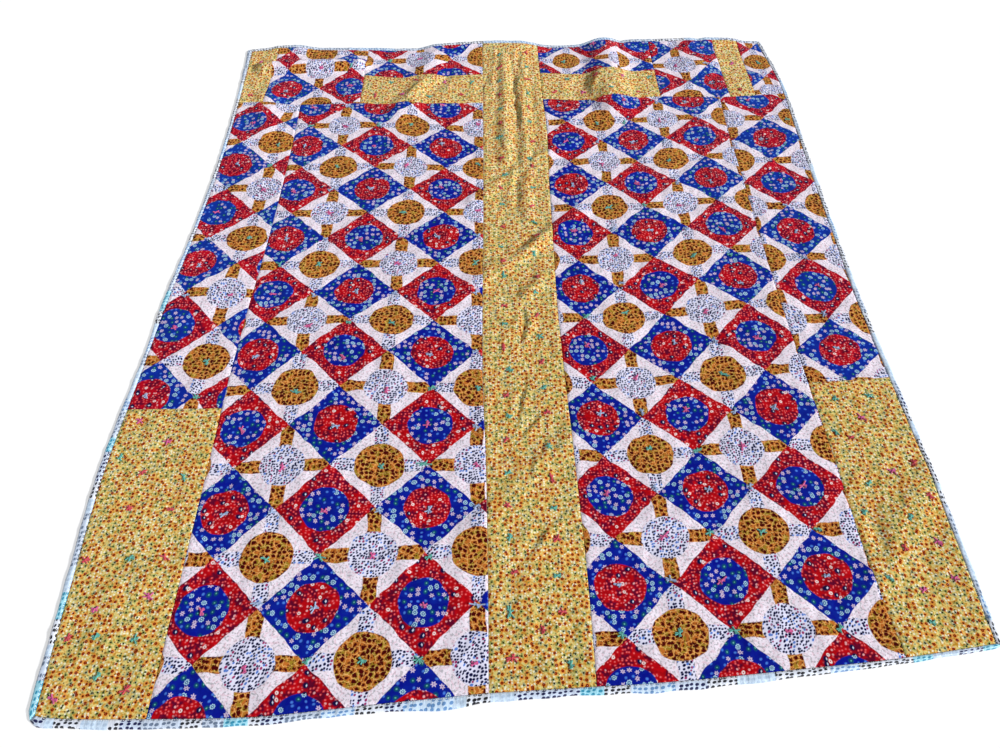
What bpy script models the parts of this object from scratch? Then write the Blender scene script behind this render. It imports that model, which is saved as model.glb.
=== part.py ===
"""A tied patchwork quilt laid out on the ground, in metres, +Z up.

The quilt lies with its foot towards -Y and its head towards +Y. Its underside rests on z = 0.
Every seam is one line of a shared grid. Cross rows run from the foot to the head, and long
columns run from the left edge to the right, so pieces that are sewn together meet line for line.
Each piece of the patchwork, and each side of the binding, is one closed solid.
"""

from collections import namedtuple
from math import cos, hypot, pi

import bmesh
import bpy

# ---------------------------------------------------------------- driving dimensions

THICKNESS = 0.0058       # top, batting and backing between two seams
SEAM_THICKNESS = 0.0042  # the same layers where a seam pulls them together
TIE_DIMPLE = 0.0014      # how far a yarn tie draws the surface down
TIE_STEP = 2             # grid lines from one tie to the next
SPINE_TIE_STEP = 4       # the same across the spine strip, whose grid is finer
HEAD_BINDING = 0.016     # width of the binding at the head
GAP = 0.0003             # clear space between sewn pieces
ROUNDS = 5               # passes that settle where a row crosses a column

# Long seams: their x at each y. An edge is the binding's outer edge, a binding its inner seam.
Station = namedtuple(
    "Station",
    "y left_edge left_binding left_seam spine_left spine_right right_seam right_binding right_edge",
)
STATIONS = (
    Station(-1.160, -0.900, -0.886, -0.687, -0.068, 0.131, 0.723, 0.889, 0.902),
    Station(-1.125, -0.906, -0.892, -0.687, -0.068, 0.131, 0.721, 0.890, 0.903),
    Station(-0.875, -0.921, -0.907, -0.689, -0.069, 0.131, 0.702, 0.895, 0.908),
    Station(-0.625, -0.934, -0.919, -0.691, -0.073, 0.125, 0.700, 0.896, 0.909),
    Station(-0.375, -0.926, -0.913, -0.694, -0.081, 0.117, 0.695, 0.892, 0.906),
    Station(-0.250, -0.921, -0.911, -0.693, -0.082, 0.114, 0.693, 0.890, 0.904),
    Station(-0.125, -0.922, -0.909, -0.691, -0.082, 0.112, 0.691, 0.889, 0.903),
    Station(0.125, -0.909, -0.898, -0.684, -0.081, 0.114, 0.692, 0.896, 0.910),
    Station(0.375, -0.902, -0.891, -0.682, -0.081, 0.116, 0.695, 0.904, 0.918),
    Station(0.625, -0.903, -0.892, -0.684, -0.082, 0.121, 0.697, 0.913, 0.927),
    Station(0.875, -0.913, -0.901, -0.691, -0.084, 0.114, 0.706, 0.921, 0.934),
    Station(1.160, -0.930, -0.914, -0.691, -0.086, 0.110, 0.706, 0.897, 0.911),
)

# Short seams at the head, which run on down as plain grid lines: x at the foot and at the head.
HEAD_LEFT_SEAM = (-0.820, -0.816)
BAR_LEFT_END = (-0.490, -0.494)
BAR_RIGHT_END = (0.515, 0.508)
HEAD_RIGHT_SEAM = (0.762, 0.736)
CORNER_SEAM = (0.838, 0.824)

# Cross seams: their y at each x. foot_binding is the inner seam of the binding at the foot.
Crossing = namedtuple("Crossing", "x foot_edge foot_binding patch_top yoke bar_top head_edge")
CROSSINGS = (
    Crossing(-0.930, -1.143, -1.126, -0.450, 0.812, 0.965, 1.146),
    Crossing(-0.860, -1.156, -1.139, -0.450, 0.812, 0.965, 1.154),
    Crossing(-0.690, -1.160, -1.143, -0.450, 0.794, 0.965, 1.152),
    Crossing(-0.495, -1.156, -1.142, -0.444, 0.797, 0.966, 1.146),
    Crossing(-0.370, -1.145, -1.132, -0.440, 0.788, 0.948, 1.138),
    Crossing(-0.250, -1.137, -1.121, -0.436, 0.789, 0.954, 1.144),
    Crossing(-0.130, -1.132, -1.111, -0.432, 0.790, 0.960, 1.151),
    Crossing(-0.080, -1.123, -1.107, -0.430, 0.790, 0.962, 1.154),
    Crossing(0.115, -1.113, -1.098, -0.423, 0.806, 0.965, 1.146),
    Crossing(0.230, -1.110, -1.093, -0.418, 0.797, 0.955, 1.145),
    Crossing(0.360, -1.100, -1.084, -0.412, 0.799, 0.963, 1.157),
    Crossing(0.512, -1.085, -1.071, -0.406, 0.811, 0.970, 1.160),
    Crossing(0.700, -1.064, -1.054, -0.400, 0.802, 0.970, 1.160),
    Crossing(0.930, -1.034, -1.024, -0.385, 0.818, 0.970, 1.152),
)

# Cells of the grid between one seam line and the next, from the left and from the foot.
COLUMN_CELLS = (2, 2, 3, 7, 8, 7, 3, 1, 2, 1)
ROW_CELLS = (11, 20, 7, 9)

# Folds in the lying cloth: a soft ridge from one point to another, with its half width and height.
Fold = namedtuple("Fold", "from_x from_y to_x to_y half_width height")
FOLDS = (
    Fold(-0.845, 1.020, -0.520, 1.022, 0.055, 0.0245),  # roll near the left head corner
    Fold(-0.800, 1.160, -0.745, 1.150, 0.080, 0.012),  # swell of the head edge behind it
    Fold(-0.345, 0.740, -0.225, 1.160, 0.075, 0.011),  # slanting hump through the left cross-bar
    Fold(-0.245, 1.160, -0.110, 1.160, 0.085, 0.019),  # swell of the head edge beside it
    Fold(-0.090, 1.160, 0.050, 1.130, 0.110, 0.017),  # swell of the head edge at the spine
    Fold(0.345, 1.160, 0.350, 0.760, 0.100, 0.021),   # hump through the right cross-bar
    Fold(0.460, 1.170, 0.600, 1.170, 0.100, 0.012),   # swell of the head edge on the right
    Fold(0.640, 1.160, 0.660, 1.020, 0.120, 0.012),
    Fold(0.720, 1.160, 0.790, 1.160, 0.085, 0.014),   # swell near the right head corner
    Fold(-0.014, 1.100, -0.012, 0.470, 0.034, 0.009),  # lengthwise wrinkles of the spine strip
    Fold(0.054, 1.060, 0.046, 0.200, 0.030, 0.006),
    Fold(-0.800, 0.840, -0.780, 0.640, 0.070, 0.006),  # slack in the left side strip
    Fold(0.180, 0.560, -0.110, 0.290, 0.045, 0.005),   # slanting wrinkles over the spine strip
    Fold(0.190, 0.220, -0.130, -0.080, 0.045, 0.005),
    Fold(0.170, -0.490, -0.110, -0.790, 0.050, 0.004),
    Fold(0.905, -0.640, 0.680, -0.930, 0.050, 0.004),  # slanting wrinkle in the right foot patch
)

# The binding's section: across it, 0 at its seam and 1 at the outer edge, and its height there.
Rib = namedtuple("Rib", "across height")
BINDING_SECTION = (
    Rib(0.00, 0.0042),
    Rib(0.35, 0.0066),
    Rib(0.75, 0.0058),
    Rib(1.00, 0.0022),
)

YELLOW = ("yellow_calico", (0.78, 0.55, 0.16), 0.85)
PRINT = ("print_cloth", (0.42, 0.18, 0.32), 0.8)
SATIN = ("binding_satin", (0.70, 0.80, 0.88), 0.45)

# Pieces of the patchwork: the columns and rows between which each lies, and its cloth.
Piece = namedtuple("Piece", "name left right foot head cloth")
PIECES = (
    Piece("spine_strip", 4, 5, 0, 4, YELLOW),
    Piece("left_cross_bar", 3, 4, 2, 3, YELLOW),
    Piece("right_cross_bar", 5, 6, 2, 3, YELLOW),
    Piece("head_left_patch", 0, 1, 2, 4, YELLOW),
    Piece("head_right_patch", 8, 9, 2, 4, YELLOW),
    Piece("foot_left_patch", 0, 2, 0, 1, YELLOW),
    Piece("foot_right_patch", 7, 10, 0, 1, YELLOW),
    Piece("left_main_panel", 2, 4, 0, 2, PRINT),
    Piece("right_main_panel", 5, 7, 0, 2, PRINT),
    Piece("left_side_strip", 0, 2, 1, 2, PRINT),
    Piece("right_side_strip", 7, 10, 1, 2, PRINT),
    Piece("head_left_print", 1, 3, 2, 4, PRINT),
    Piece("head_left_strip", 3, 4, 3, 4, PRINT),
    Piece("head_right_strip", 5, 6, 3, 4, PRINT),
    Piece("head_right_print", 6, 8, 2, 4, PRINT),
    Piece("head_corner_print", 9, 10, 2, 4, PRINT),
)
SPINE_COLUMN = 4


# ---------------------------------------------------------------- seam lines

def smooth_through(knots, at):
    """The value at a place on the smooth curve through (place, value) knots."""
    last = len(knots) - 1
    k = max(0, min(last - 1, sum(place <= at for place, _ in knots) - 1))
    (a, start), (b, end) = knots[k], knots[k + 1]
    before = knots[max(k - 1, 0)]
    after = knots[min(k + 2, last)]
    span = b - a
    t = max(0.0, min(1.0, (at - a) / span))
    slope_start = (end - before[1]) / (b - before[0]) * span
    slope_end = (after[1] - start) / (after[0] - a) * span
    return (
        start * (2 * t**3 - 3 * t**2 + 1)
        + slope_start * (t**3 - 2 * t**2 + t)
        + end * (3 * t**2 - 2 * t**3)
        + slope_end * (t**3 - t**2)
    )


def long_seam(name):
    """x as a function of y, for a named column of STATIONS."""
    knots = [(row.y, getattr(row, name)) for row in STATIONS]
    return lambda y: smooth_through(knots, y)


def straight_seam(ends):
    """x as a function of y, for a straight line from the foot to the head."""
    knots = [(STATIONS[0].y, ends[0]), (STATIONS[-1].y, ends[1])]
    return lambda y: smooth_through(knots, y)


def cross_seam(name, shift=0.0):
    """y as a function of x, for a named column of CROSSINGS."""
    knots = [(row.x, getattr(row, name) + shift) for row in CROSSINGS]
    return lambda x: smooth_through(knots, x)


COLUMNS = (
    long_seam("left_binding"),
    straight_seam(HEAD_LEFT_SEAM),
    long_seam("left_seam"),
    straight_seam(BAR_LEFT_END),
    long_seam("spine_left"),
    long_seam("spine_right"),
    straight_seam(BAR_RIGHT_END),
    long_seam("right_seam"),
    straight_seam(HEAD_RIGHT_SEAM),
    straight_seam(CORNER_SEAM),
    long_seam("right_binding"),
)
ROWS = (
    cross_seam("foot_binding"),
    cross_seam("patch_top"),
    cross_seam("yoke"),
    cross_seam("bar_top"),
    cross_seam("head_edge", -HEAD_BINDING),
)
LEFT_EDGE, RIGHT_EDGE = long_seam("left_edge"), long_seam("right_edge")
FOOT_EDGE, HEAD_EDGE = cross_seam("foot_edge"), cross_seam("head_edge")


def between(lines, index, cells, at):
    """The value at a grid line that lies index cells in from the first of the seam lines."""
    k = 0
    while index > cells[k]:
        index -= cells[k]
        k += 1
    share = index / cells[k]
    return lines[k](at) * (1 - share) + lines[k + 1](at) * share


def crossing(column, row):
    """(x, y) where a grid column crosses a grid row."""
    x, y = 0.0, 0.0
    for _ in range(ROUNDS):
        x = between(COLUMNS, column, COLUMN_CELLS, y)
        y = between(ROWS, row, ROW_CELLS, x)
    return x, y


def first_line(cells, seam):
    """The grid line on which a seam lies."""
    return sum(cells[:seam])


# ---------------------------------------------------------------- the lying cloth

def bump(share):
    """A soft hump, 1 in the middle and 0 from share 1 outwards."""
    return (1 + cos(pi * min(share, 1.0))) / 2


def lift(x, y):
    """How far the underside stands off the ground."""
    height = 0.0
    for fold in FOLDS:
        run_x, run_y = fold.to_x - fold.from_x, fold.to_y - fold.from_y
        length = hypot(run_x, run_y)
        along = ((x - fold.from_x) * run_x + (y - fold.from_y) * run_y) / length
        across = abs((x - fold.from_x) * run_y - (y - fold.from_y) * run_x) / length
        past_end = max(-along, along - length, 0.0)
        height = max(height, fold.height * bump(hypot(across, past_end) / fold.half_width))
    return height


def thickness(column, row, on_seam):
    """Thickness of the layers at a grid crossing."""
    if on_seam:
        return SEAM_THICKNESS
    spine = first_line(COLUMN_CELLS, SPINE_COLUMN)
    in_spine = spine < column < spine + COLUMN_CELLS[SPINE_COLUMN]
    step = SPINE_TIE_STEP if in_spine else TIE_STEP
    tied = (column - spine) % step == step // 2 and row % TIE_STEP == 0
    return THICKNESS - TIE_DIMPLE if tied else THICKNESS


# ---------------------------------------------------------------- solids

def material(name, colour, roughness):
    """A Principled material, made once for each cloth."""
    made = bpy.data.materials.get(name)
    if made is None:
        made = bpy.data.materials.new(name)
        made.use_nodes = True
        shader = made.node_tree.nodes["Principled BSDF"]
        shader.inputs["Base Color"].default_value = (*colour, 1.0)
        shader.inputs["Roughness"].default_value = roughness
        shader.inputs["Metallic"].default_value = 0.0
        made.diffuse_color = (*colour, 1.0)
    return made


def layered_solid(name, across, along, place, cloth, collection):
    """A closed sheet of cells. place(i, j) gives x, y, the underside's z and the upper side's z."""
    bm = bmesh.new()
    bmesh.ops.create_grid(bm, x_segments=across, y_segments=along, size=1)
    raised = bmesh.ops.extrude_face_region(bm, geom=bm.faces[:])["geom"]
    upper = {item for item in raised if isinstance(item, bmesh.types.BMVert)}
    for vert in bm.verts:
        i = round((vert.co.x + 1) / 2 * across)
        j = round((vert.co.y + 1) / 2 * along)
        x, y, low, high = place(i, j)
        vert.co = (x, y, high if vert in upper else low)
    bmesh.ops.recalc_face_normals(bm, faces=bm.faces[:])
    mesh = bpy.data.meshes.new(name)
    bm.to_mesh(mesh)
    bm.free()
    mesh.materials.append(material(*cloth))
    collection.objects.link(bpy.data.objects.new(name, mesh))


def add_piece(piece, collection):
    """One piece of the patchwork, between four seam lines, half a gap inside each."""
    left = first_line(COLUMN_CELLS, piece.left)
    right = first_line(COLUMN_CELLS, piece.right)
    foot = first_line(ROW_CELLS, piece.foot)
    head = first_line(ROW_CELLS, piece.head)

    def place(i, j):
        column, row = left + i, foot + j
        x, y = crossing(column, row)
        low = lift(x, y)
        on_seam = column in (left, right) or row in (foot, head)
        high = low + thickness(column, row, on_seam)
        x += GAP / 2 * ((column == left) - (column == right))
        y += GAP / 2 * ((row == foot) - (row == head))
        return x, y, low, high

    layered_solid(piece.name, right - left, head - foot, place, piece.cloth, collection)


def add_binding(name, side, collection):
    """One side of the binding, from mitre to mitre. side names the edge that it runs along."""
    upright = side in ("left", "right")
    low_end = side in ("left", "foot")
    last_column, last_row = sum(COLUMN_CELLS), sum(ROW_CELLS)
    steps = last_row if upright else last_column
    fixed = 0 if low_end else (last_column if upright else last_row)
    outwards = -1 if low_end else 1

    def place(i, j):
        step, rib = (j, BINDING_SECTION[i]) if upright else (i, BINDING_SECTION[j])
        column, row = (fixed, step) if upright else (step, fixed)
        x, y = crossing(column, row)
        corner_x = (column == last_column) - (column == 0)
        corner_y = (row == last_row) - (row == 0)
        edge_x = (LEFT_EDGE, None, RIGHT_EDGE)[corner_x + 1]
        edge_y = (FOOT_EDGE, None, HEAD_EDGE)[corner_y + 1]
        outer_x = edge_x(y) if edge_x else x
        outer_y = edge_y(x) if edge_y else y
        if corner_x and corner_y:
            outer_x, outer_y = edge_x(outer_y), edge_y(outer_x)
        low = lift(x, y)
        px = x + (outer_x - x) * rib.across
        py = y + (outer_y - y) * rib.across
        inset = GAP / 2 * outwards * (rib.across == 0)
        mitre = -GAP / 2 * (corner_y if upright else corner_x)
        px += inset if upright else mitre
        py += mitre if upright else inset
        return px, py, low, low + rib.height

    ribs = len(BINDING_SECTION) - 1
    across, along = (ribs, steps) if upright else (steps, ribs)
    layered_solid(name, across, along, place, SATIN, collection)


def main():
    for obj in list(bpy.data.objects):
        bpy.data.objects.remove(obj, do_unlink=True)
    collection = bpy.data.collections.new("patchwork_quilt")
    bpy.context.scene.collection.children.link(collection)
    for piece in PIECES:
        add_piece(piece, collection)
    for side in ("left", "right", "foot", "head"):
        add_binding("binding_" + side, side, collection)


main()
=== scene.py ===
"""A tied patchwork quilt lying on the ground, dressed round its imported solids.

Everything is in metres unless a table says millimetres, with the foot towards -Y, the head
towards +Y and the ground at z = 0. The seam lines and the folds are the same as those of the
solids, so each cloth lies where its solid does.
"""

import logging
from collections.abc import Callable, Iterator, Mapping, Sequence
from dataclasses import dataclass, field
from enum import Enum
from math import cos, pi, radians, sin
from typing import Any, ClassVar, Union

import bmesh
import bpy
import numpy as np
from mathutils import Matrix, Vector


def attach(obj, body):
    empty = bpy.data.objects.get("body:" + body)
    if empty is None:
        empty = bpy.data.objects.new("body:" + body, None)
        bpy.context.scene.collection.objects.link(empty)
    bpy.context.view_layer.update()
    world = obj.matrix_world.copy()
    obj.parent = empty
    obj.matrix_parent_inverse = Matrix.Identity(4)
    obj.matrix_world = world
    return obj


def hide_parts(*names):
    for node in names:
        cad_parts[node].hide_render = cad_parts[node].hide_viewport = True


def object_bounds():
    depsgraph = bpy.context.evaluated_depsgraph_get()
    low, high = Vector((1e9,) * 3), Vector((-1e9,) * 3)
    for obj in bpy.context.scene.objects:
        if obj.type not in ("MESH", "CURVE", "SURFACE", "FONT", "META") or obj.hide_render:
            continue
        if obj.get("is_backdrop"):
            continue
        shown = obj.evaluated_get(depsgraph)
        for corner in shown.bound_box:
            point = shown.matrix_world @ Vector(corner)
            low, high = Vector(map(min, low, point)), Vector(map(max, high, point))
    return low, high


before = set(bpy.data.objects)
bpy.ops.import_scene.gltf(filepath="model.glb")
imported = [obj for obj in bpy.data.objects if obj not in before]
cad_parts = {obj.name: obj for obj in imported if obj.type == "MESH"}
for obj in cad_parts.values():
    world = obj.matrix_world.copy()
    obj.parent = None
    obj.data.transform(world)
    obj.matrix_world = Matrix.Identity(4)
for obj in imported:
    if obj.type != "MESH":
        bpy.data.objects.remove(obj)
SOLIDS_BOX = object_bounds()

log = logging.getLogger("quilt")
Array = np.ndarray
MM = 1000  # millimetres in a metre


def from_mm(kind: Callable[..., Any], *rows: Sequence[float]) -> tuple[Any, ...]:
    """Makes one thing of a kind from each row of its measures in millimetres."""
    return tuple(kind(*(value / MM for value in row)) for row in rows)


# ---------------------------------------------------------------- sizes shared with the solids

THICKNESS = 0.0058
SEAM_THICKNESS = 0.0036
HEAD_BINDING = 0.016
GAP = 0.0003
ROUNDS = 5  # passes that settle where a row crosses a column

# Long seams, in millimetres: y, then x at the left edge, left binding's seam, left seam, spine
# left, spine right, right seam, right binding's seam and right edge.
STATIONS = (
    (-1160, -900, -886, -687, -68, 131, 723, 889, 902),
    (-1125, -906, -892, -687, -68, 131, 721, 890, 903),
    (-875, -921, -907, -689, -69, 131, 702, 895, 908),
    (-625, -934, -919, -691, -73, 125, 700, 896, 909),
    (-375, -926, -913, -694, -81, 117, 695, 892, 906),
    (-250, -921, -911, -693, -82, 114, 693, 890, 904),
    (-125, -922, -909, -691, -82, 112, 691, 889, 903),
    (125, -909, -898, -684, -81, 114, 692, 896, 910),
    (375, -902, -891, -682, -81, 116, 695, 904, 918),
    (625, -903, -892, -684, -82, 121, 697, 913, 927),
    (875, -913, -901, -691, -84, 114, 706, 921, 934),
    (1160, -930, -914, -691, -86, 110, 706, 897, 911),
)

# Cross seams, in millimetres: x, then y at the foot edge, foot binding's seam, patch top, yoke,
# bar top and head edge.
CROSSINGS = (
    (-930, -1143, -1126, -450, 812, 965, 1146),
    (-860, -1156, -1139, -450, 812, 965, 1154),
    (-690, -1160, -1143, -450, 794, 965, 1152),
    (-495, -1156, -1142, -444, 797, 966, 1146),
    (-370, -1145, -1132, -440, 788, 948, 1138),
    (-250, -1137, -1121, -436, 789, 954, 1144),
    (-130, -1132, -1111, -432, 790, 960, 1151),
    (-80, -1123, -1107, -430, 790, 962, 1154),
    (115, -1113, -1098, -423, 806, 965, 1146),
    (230, -1110, -1093, -418, 797, 955, 1145),
    (360, -1100, -1084, -412, 799, 963, 1157),
    (512, -1085, -1071, -406, 811, 970, 1160),
    (700, -1064, -1054, -400, 802, 970, 1160),
    (930, -1034, -1024, -385, 818, 970, 1152),
)


@dataclass(frozen=True)
class SeamLine:
    """A smooth line through knots, one coordinate as a function of the other."""

    places: tuple[float, ...]
    values: tuple[float, ...]

    @classmethod
    def column_of(
        cls, table: Sequence[Sequence[float]], column: int, shift: float = 0.0
    ) -> "SeamLine":
        """The line in one column of a table in millimetres, its places being in the first."""
        places = tuple(row[0] / MM for row in table)
        return cls(places, tuple(row[column] / MM + shift for row in table))

    @classmethod
    def straight(cls, foot: float, head: float) -> "SeamLine":
        """A straight long seam from its x at the foot to its x at the head."""
        return cls((STATIONS[0][0] / MM, STATIONS[-1][0] / MM), (foot, head))

    def at(self, place: Array | float) -> Array:
        """The value at each place, which is one number or an array of them.

        Args:
            place: Where to read the line.

        Returns:
            The values, in an array of the same shape.
        """
        places, values = np.array(self.places), np.array(self.values)
        last = len(places) - 1
        k = np.clip(np.searchsorted(places, place, side="right") - 1, 0, last - 1)
        before, after = np.maximum(k - 1, 0), np.minimum(k + 2, last)
        span = places[k + 1] - places[k]
        t = np.clip((place - places[k]) / span, 0.0, 1.0)
        leaving = (values[k + 1] - values[before]) / (places[k + 1] - places[before]) * span
        arriving = (values[after] - values[k]) / (places[after] - places[k]) * span
        return (
            values[k] * (2 * t**3 - 3 * t**2 + 1)
            + leaving * (t**3 - 2 * t**2 + t)
            + values[k + 1] * (3 * t**2 - 2 * t**3)
            + arriving * (t**3 - t**2)
        )


EDGE_LEFT, BOUND_LEFT, SEAM_LEFT, SPINE_LEFT, SPINE_RIGHT, SEAM_RIGHT, BOUND_RIGHT, EDGE_RIGHT = (
    SeamLine.column_of(STATIONS, column) for column in range(1, 9)
)
FOOT_EDGE, *CROSS_SEAMS, HEAD_EDGE = (SeamLine.column_of(CROSSINGS, k) for k in range(1, 7))
COLUMNS = (
    BOUND_LEFT,
    SeamLine.straight(-0.820, -0.816),
    SEAM_LEFT,
    SeamLine.straight(-0.490, -0.494),
    SPINE_LEFT,
    SPINE_RIGHT,
    SeamLine.straight(0.515, 0.508),
    SEAM_RIGHT,
    SeamLine.straight(0.762, 0.736),
    SeamLine.straight(0.838, 0.824),
    BOUND_RIGHT,
)
ROWS = (*CROSS_SEAMS, SeamLine.column_of(CROSSINGS, 6, -HEAD_BINDING))
EDGES = {"left": EDGE_LEFT, "right": EDGE_RIGHT, "foot": FOOT_EDGE, "head": HEAD_EDGE}


def between(
    left: SeamLine, right: SeamLine, foot: SeamLine, head: SeamLine, across: Array, along: Array
) -> tuple[Array, Array]:
    """Places shares between four seam lines.

    Args:
        left: Long seam at share 0 across.
        right: Long seam at share 1 across.
        foot: Cross seam at share 0 along.
        head: Cross seam at share 1 along.
        across: Shares from left to right.
        along: Shares from foot to head.

    Returns:
        The x and y of each place.
    """
    x, y = np.zeros_like(across), np.zeros_like(along)
    for _ in range(ROUNDS):
        x = left.at(y) * (1 - across) + right.at(y) * across
        y = foot.at(x) * (1 - along) + head.at(x) * along
    return x, y


# ---------------------------------------------------------------- the lying cloth


def hump(share: Array) -> Array:
    """A soft hump, 1 in the middle and 0 from share 1 outwards."""
    return (1 + np.cos(pi * np.minimum(share, 1.0))) / 2


@dataclass(frozen=True)
class Stroke:
    """A straight stroke over the quilt, from one point to another."""

    from_x: float
    from_y: float
    to_x: float
    to_y: float
    half_width: float
    height: float

    def measured(self, x: Array, y: Array) -> tuple[Array, Array, float]:
        """Reads places against the stroke.

        Args:
            x: Places across the quilt.
            y: Places along the quilt.

        Returns:
            How far each is along the stroke and beside it, and how long the stroke is.
        """
        run_x, run_y = self.to_x - self.from_x, self.to_y - self.from_y
        length = np.hypot(run_x, run_y)
        dx, dy = x - self.from_x, y - self.from_y
        return (dx * run_x + dy * run_y) / length, (dx * run_y - dy * run_x) / length, length


@dataclass(frozen=True)
class Fold(Stroke):
    """A soft ridge, as in the solids."""

    def rise(self, x: Array, y: Array) -> Array:
        """How far the fold lifts the cloth at each place.

        Args:
            x: Places across the quilt.
            y: Places along the quilt.

        Returns:
            The rise, in metres.
        """
        along, across, length = self.measured(x, y)
        past_end = np.maximum(np.maximum(-along, along - length), 0.0)
        return self.height * hump(np.hypot(across, past_end) / self.half_width)


@dataclass(frozen=True)
class Crease(Stroke):
    """A crease pressed into the upper side: a ridge if its height is above zero, else a trough."""

    waver: float = 0.004

    WAVES: ClassVar[tuple[tuple[float, float, float], ...]] = ((1, 31, 1), (0.6, 67, 2))
    FADE_POWER: ClassVar[float] = 0.6
    SIDE_POWER: ClassVar[float] = 1.3

    def rise(self, x: Array, y: Array) -> Array:
        """How far the crease raises the upper side at each place, below zero in a trough.

        Args:
            x: Places across the quilt.
            y: Places along the quilt.

        Returns:
            The heights.
        """
        along, across, length = self.measured(x, y)
        phase = 40 * (self.from_x + self.from_y)
        bend = sum(size * np.sin(along * rate + turns * phase) for size, rate, turns in self.WAVES)
        beside = np.abs(across + self.waver * bend) / self.half_width
        fade = hump(np.abs(along / length - 0.5) * 2) ** self.FADE_POWER
        return self.height * fade * hump(beside) ** self.SIDE_POWER


# Both tables are in millimetres: from x and y, to x and y, half width and height. A crease may
# also say how far it wavers.
FOLDS: tuple[Fold, ...] = from_mm(
    Fold,
    (-845, 1020, -520, 1022, 55, 24.5), (-800, 1160, -745, 1150, 80, 12),
    (-345, 740, -225, 1160, 75, 11), (-245, 1160, -110, 1160, 85, 19),
    (-90, 1160, 50, 1130, 110, 17), (345, 1160, 350, 760, 100, 21),
    (460, 1170, 600, 1170, 100, 12), (640, 1160, 660, 1020, 120, 12),
    (720, 1160, 790, 1160, 85, 14), (-14, 1100, -12, 470, 34, 9), (54, 1060, 46, 200, 30, 6),
    (-800, 840, -780, 640, 70, 6), (180, 560, -110, 290, 45, 5), (190, 220, -130, -80, 45, 5),
    (170, -490, -110, -790, 50, 4), (905, -640, 680, -930, 50, 4),
)

CREASES: tuple[Crease, ...] = from_mm(
    Crease,
    # the spine strip near the head
    (34, 1130, 31, 950, 12, 4), (44, 1110, 40, 930, 12, -7), (24, 965, 24, 790, 12, -7.8),
    (27, 840, 30, 600, 10, -6), (-24, 1060, -30, 740, 22, -5.2), (-45, 1120, -52, 820, 14, 3.4),
    (-60, 940, -118, 825, 18, -5.2), (80, 960, 86, 560, 14, -2.4), (38, 640, 36, 545, 9, -3.8),
    (-19, 585, -15, 440, 8, -4.2),
    # along and slanting over the spine strip
    (27, 475, 11, 218, 13, -6.8, 3), (10, 460, -4, 240, 13, 3), (58, 480, 38, 350, 20, -3.6),
    (150, 540, 60, 450, 22, 3), (119, 152, -8, 14, 40, 8.5), (110, 200, -18, 25, 20, -4.6),
    (105, 1, -3, -141, 36, 7.5), (18, -50, -1, -125, 10, -4.2), (34, -100, 7, -310, 10, -5.4),
    (-40, -150, -52, -330, 12, -2.2), (19, -350, -5, -535, 10, -5.4),
    (-46, -425, -71, -475, 10, -3.4), (55, -472, -4, -566, 12, -4.4),
    (58, -528, 46, -620, 9, -3.8), (40, -585, 22, -668, 9, -3.6), (46, -640, 30, -704, 9, -3.4),
    (115, -710, -30, -880, 16, -3), (131, -706, -12, -876, 16, 3),
    # ridges beside the sharpest of them
    (38, 960, 37, 790, 12, 3.8), (39, 840, 42, 600, 11, 3.4), (46, -100, 19, -310, 11, 3.4),
    (31, -350, 7, -535, 11, 3.4), (68, -472, 9, -566, 12, 2.8), (69, -528, 57, -620, 10, 2.6),
    (51, -585, 33, -668, 10, 2.6), (57, -640, 41, -704, 10, 2.4), (60, -900, -10, -1080, 14, -2),
    # the head-left patch, where the long fold dies away
    (-912, 1020, -764, 1021, 62, -10.5),
    # the left cross-bar and the panel below it
    (-400, 790, -270, 985, 36, -6.6), (-352, 790, -232, 985, 24, 3.4),
    (-312, 780, -186, 980, 26, -6), (-100, 970, -90, 780, 14, -3.6),
    (-190, 960, -230, 700, 18, 2.7),
    # the right cross-bar
    (290, 990, 208, 785, 42, -7.2), (325, 975, 272, 800, 22, 6), (330, 905, 382, 785, 11, -8.5, 2),
    (485, 960, 487, 880, 10, -3.2), (180, 960, 200, 820, 16, 2.2),
    # the right foot patch and the panels
    (900, -690, 700, -950, 26, 1.8), (762, -690, 715, -900, 26, -3.6),
    (720, -420, 890, -560, 20, -2.4), (-600, -250, -300, -420, 24, -2.1),
    (200, -300, 520, -180, 24, -2.1), (620, 560, 420, 300, 28, -2.7),
    (640, 260, 280, 100, 28, 2.4), (-560, 640, -300, 520, 28, -2.4),
    (-200, 300, -480, 120, 28, 2.1), (-860, 520, -700, 300, 24, -2.4),
    (880, 600, 740, 360, 26, 2.7), (860, 200, 730, -20, 24, -2.4),
)


@dataclass(frozen=True)
class Swell:
    """Gentle unevenness, the sum of a few dozen waves in all directions."""

    height: float
    shortest: float
    longest: float
    seed: int
    waves: int = 28

    def rise(self, x: Array, y: Array) -> Array:
        """The height of the swell at each place, as often below zero as above.

        Args:
            x: Places across the quilt.
            y: Places along the quilt.

        Returns:
            The heights.
        """
        draw = np.random.default_rng(self.seed)
        heading = draw.uniform(0, 2 * pi, self.waves)
        length = np.exp(draw.uniform(np.log(self.shortest), np.log(self.longest), self.waves))
        phase = draw.uniform(0, 2 * pi, self.waves)
        total = np.zeros_like(x)
        for turn, wave, start in zip(heading, length, phase):
            total += np.sin(2 * pi / wave * (x * cos(turn) + y * sin(turn)) + start)
        return self.height * total / np.sqrt(self.waves / 2)


class YarnColour(Enum):
    """The colours of the yarn ties."""

    PINK = "pink"
    RED = "red"
    TEAL = "teal"
    SKY = "sky"


@dataclass(frozen=True)
class Tie:
    """One yarn tie: where it is knotted and its colour."""

    x: float
    y: float
    colour: YarnColour


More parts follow.
